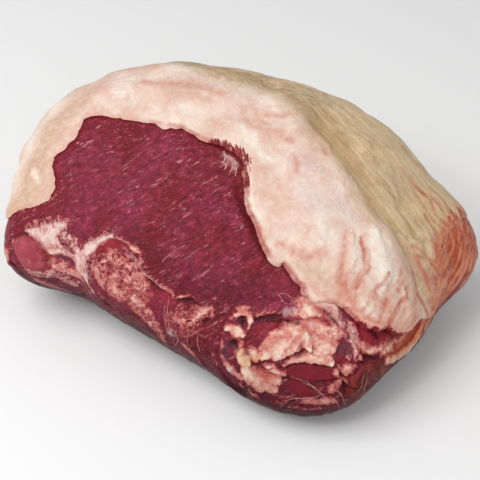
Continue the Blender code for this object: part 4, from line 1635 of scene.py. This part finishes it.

# %% [markdown]
# ## Bare meat
#
# Raw beef is deep purple-red, cloudy on the scale of a hand and mottled on that of a
# fingertip, with short pale flecks and thin pale lines along its fibres. Beside the fat it
# is a brighter red. Towards the table its colour is darkened, as painted shade.

# %% Bare meat
SUNK_RED = (1.0, 0.25, 0.18)  # how far red, green and blue light get, as shares
FLESH = {
    "Subsurface Weight": 0.10, "Subsurface Scale": 0.003, "Subsurface Radius": SUNK_RED,
    "Specular IOR Level": 0.14,
}
# Painted shade near the table: first the bare meat, then everything on it, is darkened.
PAINTED_SHADE_UP_TO = 0.068  # metres above the table
PAINTED_SHADE_ON_MEAT, PAINTED_SHADE_ON_ALL = 0.86, 0.60  # how much it darkens


def bare_meat(f):
    """The colour, the height and the roughness of meat with nothing on it."""
    cloudy, mottle = f.noise(0.034, 3.0, 0.6), f.noise(0.0042, 5.0, 0.70)
    fibres = f.fibres(GRAIN, 0.0100, 0.0022, 4.0, 0.65, 0.4)
    colour = f.tone(f.step(cloudy, 0.36, 0.64), (130, 26, 40), (148, 46, 72))
    colour = f.mix(f.step(mottle, 0.56, 0.36) * 0.5, colour, paint(88, 10, 22))
    colour = f.mix(f.step(mottle, 0.54, 0.70) * 0.45, colour, paint(188, 78, 94))
    colour = f.lit(colour, f.step(fibres, 0.25, 0.75) * 0.95 + 0.54)

    patchy = f.step(f.noise(0.022, 2.0), 0.40, 0.58)
    strands = f.fibres(GRAIN, 0.0130, 0.0022, 2.0, 0.5, 1.3)
    specks, breaks = f.noise(0.0024, 2.0, 0.5), f.noise(0.0075, 2.0, 0.6)
    fleck = f.step(strands, 0.635, 0.69) * (patchy * 0.6 + 0.4)
    fleck = f.math("MAXIMUM", fleck, f.step(specks, 0.71, 0.78) * 0.6)
    lines = f.from_middle(f.fibres(GRAIN, 0.0260, 0.0060, 2.0, 0.5, 1.1))
    line = f.step(lines, 0.011, 0.002) * f.step(breaks, 0.50, 0.60)
    fleck = f.math("MAXIMUM", fleck, line * (patchy * 0.55 + 0.35))
    colour = f.mix(fleck * 0.9, colour, paint(232, 154, 158))

    beside_fat = f.step(f.field("rim") + (mottle - 0.5) * 0.006, 0.0042, 0.0016)
    colour = f.mix(beside_fat * 0.65, colour, paint(132, 10, 24))
    return colour, fibres * 0.5 + mottle * 0.9 + fleck * 0.3, mottle * 0.25 + 0.26


# Painted shade darkens the lowest part of the flesh.
print("juice darkens the lowest", 1000 * PAINTED_SHADE_UP_TO, "mm")

# %% [markdown]
# ## The small end
#
# Towards the small end the skin over the meat dries to terracotta, in streaks along it.
# Meat and fat share this finish, so the thin rim between the two doesn't show.

# %% The small end


def small_end(f):
    """Streaks of terracotta."""
    streaks = f.fibres(SMALL_END, 0.030, 0.0040, 4.0, 0.6, 0.6)
    patchy = f.noise(0.011, 3.0, 0.5, 0.6)
    dark = f.tone(f.step(patchy, 0.36, 0.62), (176, 70, 46), (208, 108, 76))
    return f.mix(f.step(streaks, 0.46, 0.66), dark, paint(240, 160, 126))


print("it streaks along", np.round(SMALL_END, 2))

# %% [markdown]
# ## What lies on the meat
#
# In the order in which a butcher would see them: small muscles, stains and membranes,
# then fat, then silverskin, blood and dark slits over it. A skin of fat is first dark
# pink, for the meat shines through, and turns cream as it gets thicker.

# %% Paints for the flesh
FAT_OVER_MEAT = (  # from the thinnest skin of fat to the thickest
    (0.00, (118, 24, 36)),
    (0.16, (146, 44, 56)),
    (0.32, (178, 78, 82)),
    (0.48, (206, 116, 110)),
    (0.64, (226, 150, 136)),
    (0.80, (241, 189, 169)),
    (1.00, (255, 225, 204)),
)
# Each kind of mark: how ragged and how soft its side is in metres, how much of what is
# under it it covers, then its darkest and its palest paint.
FLESH_MARKS = {
    "muscle": (0.004, 0.0020, 1.00, (110, 14, 34), (150, 32, 54)),
    "crimson": (0.006, 0.0024, 1.00, (66, 0, 6), (128, 6, 20)),
    "brown": (0.008, 0.0040, 1.00, (84, 14, 10), (160, 64, 46)),
    "vivid": (0.006, 0.0022, 0.85, (150, 22, 40), (190, 56, 68)),
    "flush": (0.006, 0.0026, 0.80, (186, 62, 60), (222, 116, 102)),
    "smooth": (0.002, 0.0014, 0.92, (164, 60, 74), (196, 92, 102)),
    "lilac": (0.004, 0.0016, 0.55, (190, 130, 138), (236, 206, 208)),
    "purple": (0.004, 0.0010, 1.00, (84, 26, 42), (138, 66, 84)),
    "blood": (0.004, 0.0014, 0.95, (86, 4, 16), (178, 58, 66)),
    # dark: partly the slits' own colour and partly painted shade
    "dark": (0.003, 0.0009, 1.00, (34, 4, 10), (92, 22, 28)),
}
print(len(FLESH_MARKS), "kinds of mark have two paints")

# %% [markdown]
# ## Fat over the meat
#
# How thick the fat is comes from the strokes, and noise of several kinds makes it uneven:
# curls, a rosy blush, veins where it parts, a net of marbling, and hairs in the torn
# tissue. Thick fat is calmer than thin fat.

# %% Fat over the meat


def marked(f, colour, kind, wobble, texture, gaps=1.0):
    """Paints one kind of mark over a colour, dark to pale by a texture. Where gaps is
    under 1, less of it shows."""
    ragged, soft, strength, dark, pale = FLESH_MARKS[kind]
    mask = f.mask(kind, ragged, soft, wobble) * gaps
    return f.mix(mask * strength, colour, f.tone(texture, dark, pale))


def fat_on_meat(f, colour, wobble, fine, cloudy, curly, orange):
    """Lays fat over a colour. Returns the colour, how much of the meat the fat hides and
    how thick it is."""
    veins = f.from_middle(f.noise(0.0095, 4.0, 0.6, 0.8))
    net = f.from_middle(f.noise(0.0075, 4.0, 0.65, 1.2))
    hairs = f.fibres(HAIRS, 0.0080, 0.0015, 3.0, 0.6, 0.3)
    rosy = f.step(f.noise(0.0095, 3.0, 0.5, 0.5), 0.50, 0.68) * 0.30
    patches = f.step(f.noise(0.034, 3.0, 0.5, 0.6), 0.50, 0.66) * f.step(f.towards(FAR_SIDE), 0.03, 0.07)
    crimson = f.mask("crimson", *FLESH_MARKS["crimson"][:2], wobble)
    marbled = f.mask("marbled", 0.006, 0.0012, wobble)
    whitish = f.mask("whitish", 0.006, 0.004, wobble)

    fatty = f.field("fatty") * (1.0 - crimson * 0.85) + patches * 0.55
    calm = f.step(fatty, 0.5, 1.0)
    grain = (fine - 0.5) * (1.0 - calm)
    uneven = (curly - 0.5) * (1.1 - calm * 0.4) + grain * 0.70 - rosy + whitish * (hairs - 0.5) * 1.3
    thickness = fatty + uneven - f.step(veins, 0.022, 0.0) * 0.20
    thickness = thickness + marbled * (f.step(net, 0.004, 0.080) * 0.38 - 0.13)
    shown = f.step(thickness, 0.10, 0.34) * f.step(fatty, 0.02, 0.20)

    over = f.node("ShaderNodeValToRGB", {"stops": FAT_OVER_MEAT}, {"Fac": thickness}, "Color")
    over = f.tinted(marbled, over, (260, 245, 254))
    over = f.tinted(orange, over, (262, 192, 146))
    over = marked(f, over, "flush", wobble, cloudy)
    over = f.tinted(f.mask("yellow", 0.004, 0.003, wobble), over, (262, 240, 210))
    chalky = f.tone(f.step(thickness, 0.30, 0.95), (198, 112, 114), (246, 218, 210))
    over = f.mix(whitish * f.step(thickness, 0.20, 0.50) * 0.75, over, chalky)
    return f.mix(shown, colour, over), shown, thickness


print("fat over meat has", len(FAT_OVER_MEAT), "shades")

# %% [markdown]
# ## The flesh finish
#
# The lean meat and the seam fat wear the same finish. It is all one tissue, and only the
# strokes say where it is fat.

# %% The flesh finish


def flesh_finish(name):
    """Bare meat, marks under the fat, the fat, then marks over it."""
    f = Finish(name, FLESH)
    colour, height, rough = bare_meat(f)
    # painted shade: the bare meat darker towards the table
    painted_shade = f.step(f.height(), PAINTED_SHADE_UP_TO, 0.0)
    colour = f.lit(colour, 1.0 - painted_shade * PAINTED_SHADE_ON_MEAT)

    wobble, fine = f.noise(0.0030, 4.0, 0.6), f.noise(0.0014, 3.0, 0.55)
    cloudy, curly = f.noise(0.006, 3.0, 0.55), f.noise(0.0062, 4.0, 0.55, 0.8)
    colour = marked(f, colour, "muscle", wobble, cloudy)
    colour = f.tinted(f.mask("deep", 0.010, 0.009, cloudy), colour, (236, 228, 234))
    colour = marked(f, colour, "crimson", wobble, f.step(fine, 0.3, 0.7))
    colour = marked(f, colour, "brown", wobble, f.step(curly, 0.36, 0.64))
    orange = f.mask("orange", 0.010, 0.004, wobble)
    colour = f.mix(orange, colour, small_end(f))
    colour = marked(f, colour, "vivid", wobble, cloudy)

    colour, shown, thickness = fat_on_meat(f, colour, wobble, fine, cloudy, curly, orange)
    height = height * (1.0 - shown * 0.7) + shown * (thickness * 0.5)

    streaks = f.fibres(GRAIN, 0.0120, 0.0014, 3.0, 0.6, 0.5)
    broken = f.step(fine * 0.4 + curly * 0.6, 0.36, 0.54)
    colour = marked(f, colour, "smooth", wobble, f.step(cloudy, 0.3, 0.7))
    colour = marked(f, colour, "lilac", wobble, f.step(curly, 0.35, 0.6), f.step(curly, 0.36, 0.56))
    colour = marked(f, colour, "purple", wobble, cloudy, f.step(curly, 0.36, 0.50) * 0.5 + 0.5)
    colour = marked(f, colour, "blood", wobble, f.step(streaks, 0.38, 0.66), broken)
    # slits and creases: nearly black, partly painted shade
    colour = marked(f, colour, "dark", wobble, fine)
    # painted shade: everything darker towards the table
    colour = f.lit(colour, 1.0 - painted_shade * PAINTED_SHADE_ON_ALL)
    f.wear(colour, rough - shown * 0.04, height, 0.0012)
    return f.material


meat.data.materials.append(flesh_finish("lean_finish"))
seam.data.materials.append(flesh_finish("seam_finish"))
print("flesh finishes:", [m.name for m in (meat.data.materials[0], seam.data.materials[0])])

# %% [markdown]
# ## Cream and tan
#
# Beef fat is cream with a pink blush where blood shows through it. Past the crest the
# outer skin has dried to a wrinkled tan, paler again down the back. In the valley along the
# fold and along the top edge the tan is painted darker, partly its own colour and partly
# painted shade.

# %% Cream and tan
SUNK_CREAM = (1.0, 0.5, 0.35)  # how far red, green and blue light get, as shares
CREAM = {
    "Subsurface Weight": 0.15, "Subsurface Scale": 0.004, "Subsurface Radius": SUNK_CREAM,
    "Specular IOR Level": 0.22,
}


def tan_skin(f, colour, soft, wobble, wrinkles):
    """Lays the tan over a colour. Returns the colour, and where it is tan."""
    behind = f.field("behind") + (soft - 0.5) * 0.016 + (wobble - 0.5) * 0.006
    tan = f.step(behind, -0.0110, 0.0070)
    over = f.tone(f.step(wrinkles * 0.6 + soft * 0.4, 0.38, 0.60), (170, 136, 92), (238, 210, 168))
    fine_wrinkles = f.from_middle(f.fibres(WRINKLES, 0.022, 0.0030, 3.0, 0.6, 0.8))
    creases = f.step(fine_wrinkles, 0.030, 0.004) * f.step(soft, 0.42, 0.56)
    over = f.mix(creases * 0.55, over, paint(150, 114, 76))
    # the tan strokes: darker, partly painted shade in the valley and at the top edge
    over = f.mix(f.mask("tan", 0.008, 0.0045, soft) * 0.65, over, paint(180, 148, 100))
    far = f.step(f.field("behind") + (soft - 0.5) * 0.03, 0.022, 0.060)
    over = f.mix(far * 0.75, over, paint(240, 212, 166))
    return f.mix(tan * 0.92, colour, over), tan


print("light sinks into fat by up to", 1000 * CREAM["Subsurface Scale"], "mm")

# %% [markdown]
# ## Blood at the torn edge
#
# Blood soaks into the fat from its rim. Only where the strokes allow it does it climb, in
# teeth along the hairs of the tissue, and elsewhere the rim is just a little pinker.

# %% Blood


def near_rim(f, wobble, wander, start, end):
    """0 further inland than start and 1 from end on to the rim, both with a wander."""
    return f.step(f.field("rim") + (wobble - 0.5) * wander, start, end)


def rim_stains(f, colour, soft, wobble):
    """A pink rim, darker where it is stained."""
    colour = f.mix(near_rim(f, wobble, 0.004, 0.0036, 0.0008) * 0.35, colour, paint(226, 160, 140))
    stained = f.mask("stained", 0.004, 0.0020, soft) * near_rim(f, wobble, 0.005, 0.0030, 0.0002)
    return f.mix(stained * 0.8, colour, paint(176, 62, 58))


def soaked_blood(f, colour, wobble):
    """Blood in teeth that start at the rim, fresh and dark close to it."""
    hairs = f.fibres(HAIRS, 0.0070, 0.0016, 3.0, 0.6, 0.3)
    spikes = f.fibres(HAIRS, 0.026, 0.0018, 2.0, 0.5, 0.5)
    zone = f.step(f.field("blood"), 0.0015, -0.0030)
    reach = zone * (f.step(spikes, 0.42, 0.68) * 0.0070 + f.step(wobble, 0.40, 0.60) * 0.0024)
    blood = f.step(f.field("rim") - reach, 0.0010, -0.0008) * f.step(zone, 0.02, 0.25)
    inland = f.step(hairs + f.field("rim") * 40.0, 0.36, 0.80)
    return f.mix(blood, colour, f.tone(inland, (96, 2, 12), (168, 40, 40)))


print(int((cap_fields["blood"] < 0).sum()), "points of the cap may be bloody")

# %% [markdown]
# ## The fat's finish
#
# Over cream and tan come the lobes' own shades, each as a soft stroke: warm and cool
# cream, peach, sandy ridges, bright tops and pink valleys. The veins are thin and come
# late, so nothing hides them but blood.

# %% The fat's finish
# Each kind: how ragged and how soft its side is in metres, how much it covers, which
# texture mixes its two paints, and the paints.
CAP_SHADES = (
    ("warm", 0.014, 0.0080, 0.85, "wobble", (210, 168, 140), (230, 197, 171)),
    ("peach", 0.012, 0.0070, 0.85, "fan", (214, 132, 106), (250, 214, 190)),
    ("cool", 0.012, 0.0060, 0.60, "wobble", (228, 206, 204), (244, 226, 222)),
    ("sandy", 0.016, 0.0080, 0.70, "wrinkles", (208, 178, 134), (244, 220, 184)),
    ("cream", 0.010, 0.0032, 0.95, "wobble", (250, 226, 206), (255, 246, 234)),
    ("blush", 0.010, 0.0034, 0.70, "wobble", (206, 118, 100), (238, 172, 152)),
)


def fat_finish():
    """Cream with a blush, tan past the crest, then shades, streaks, veins and blood."""
    f = Finish("fat_finish", CREAM)
    cloudy, soft = f.noise(0.036, 4.0, 0.55), f.noise(0.013, 4.0, 0.6, 0.4)
    fine, wobble = f.noise(0.0022, 4.0, 0.6), f.noise(0.0045, 4.0, 0.6)
    wrinkles = f.fibres(WRINKLES, 0.030, 0.0048, 4.0, 0.62, 0.5)
    textures = {"wobble": wobble, "wrinkles": wrinkles, "fan": f.fibres(FAN, 0.018, 0.0030, 4.0, 0.6, 0.6)}
    colour = f.tone(f.step(cloudy, 0.36, 0.64), (234, 193, 175), (254, 234, 218))
    colour = f.mix(f.step(soft, 0.50, 0.72) * 0.6, colour, paint(230, 174, 158))
    colour = f.mix(f.step(wobble, 0.54, 0.72) * 0.5, colour, paint(254, 238, 218))
    colour, tan = tan_skin(f, colour, soft, wobble, wrinkles)
    for kind, ragged, side, strength, texture, low, high in CAP_SHADES:
        shade = f.tone(f.step(textures[texture], 0.34, 0.66), low, high)
        colour = f.mix(f.mask(kind, ragged, side, soft) * strength, colour, shade)
    torn = wrinkles * 0.75 + wobble * 0.25
    colour = f.mix(f.mask("orange", 0.050, 0.0035, torn), colour, small_end(f))
    streaked = f.mask("streaked", 0.010, 0.0060, soft) * f.step(wrinkles, 0.50, 0.60)
    colour = f.mix(streaked * 0.8, colour, paint(190, 96, 72))
    colour = rim_stains(f, colour, soft, wobble)
    colour = f.mix(f.mask("vein", 0.0026, 0.0016, wobble) * 0.9, colour, paint(200, 98, 76))
    colour = soaked_blood(f, colour, wobble)
    height = soft * 0.9 + wobble * 0.35 + fine * 0.15 + wrinkles * (tan * 0.7 + 0.3)
    f.wear(colour, fine * 0.2 + 0.36, height, 0.0016)
    return f.material


fat.data.materials.append(fat_finish())
print("the fat's finish has", len(fat.data.materials[0].node_tree.nodes), "nodes")

# %% [markdown]
# ## The threads' finish, worn by the painted glints too
#
# Connective tissue is moist and pale, and pinker in places where it is stained. The painted highlights on
# the oval muscle wear the same finish.

# %% The threads' finish


def thread_and_glint_finish():
    """Pale pink in soft patches, and moist."""
    f = Finish("thread_and_glint_finish", {"Subsurface Weight": 0.2, "Subsurface Scale": 0.001})
    colour = f.tone(f.step(f.noise(0.004), 0.35, 0.65), (184, 100, 98), (232, 186, 176))
    f.wear(colour, f.noise(0.002) * 0.2 + 0.28, f.noise(0.001), 0.0001)
    return f.material


threads.data.materials.append(thread_and_glint_finish())
print("the threads wear", threads.data.materials[0].name)

# %% [markdown]
# ## What it replaces
#
# Each fine skin stands for one packed node, which stays behind it for the physics. The
# threads and the painted glints stand for none, they only ride along.

# %% Bodies and nodes
for piece, node, slot in (
    (meat, "lean_meat", "lean_meat"),
    (fat, "fat_cap", "fat_cap"),
    (seam, "seam_fat", "seam_fat"),
):
    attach(piece, "root")
    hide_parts(node)
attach(threads, "root")

# %% [markdown]
# ## The studio
#
# A plain pale floor and soft light, as on a product picture: one large lamp above the left
# front, a weaker one opposite, a small one for the moist shine, and an even sky that keeps
# the shadows open.

# %% The studio
FLOOR_SIDE, FLOOR_PAINT = 8.0, (0.90, 0.90, 0.90, 1.0)
SKY_COLOUR, SKY_STRENGTH = (1.0, 1.0, 1.0, 1.0), 0.50
# Each lamp: where it stands, its side and its power.
LAMPS = {
    "key": ((-0.50, -0.65, 1.35), 1.2, 14.8),
    "fill": ((0.9, -0.9, 0.7), 0.9, 2.0),
    "glint": ((-0.25, -0.95, 1.20), 0.15, 1.2),
}

corners = np.array([(-1, -1, 0), (1, -1, 0), (1, 1, 0), (-1, 1, 0)]) * FLOOR_SIDE / 2
floor = skin("floor", corners, np.array([[0, 1, 2, 3]]))
floor.data.materials.append(Finish("floor_finish", {"Roughness": 0.9, "Base Color": FLOOR_PAINT}).material)

for name, (place, side, power) in LAMPS.items():
    lamp = bpy.data.lights.new(name, "AREA")
    lamp.size, lamp.energy = side, power
    thing = bpy.data.objects.new(name, lamp)
    thing.location = place
    thing.rotation_euler = (Vector(AIM) - Vector(place)).to_track_quat("-Z", "Y").to_euler()
    bpy.context.scene.collection.objects.link(thing)

sky = bpy.data.worlds.new("sky")
sky.use_nodes = True
background = sky.node_tree.nodes["Background"]
background.inputs["Color"].default_value = SKY_COLOUR
background.inputs["Strength"].default_value = SKY_STRENGTH
bpy.context.scene.world = sky
bpy.context.scene.view_settings.view_transform = "Standard"
print("lamps:", list(LAMPS))

# %% [markdown]
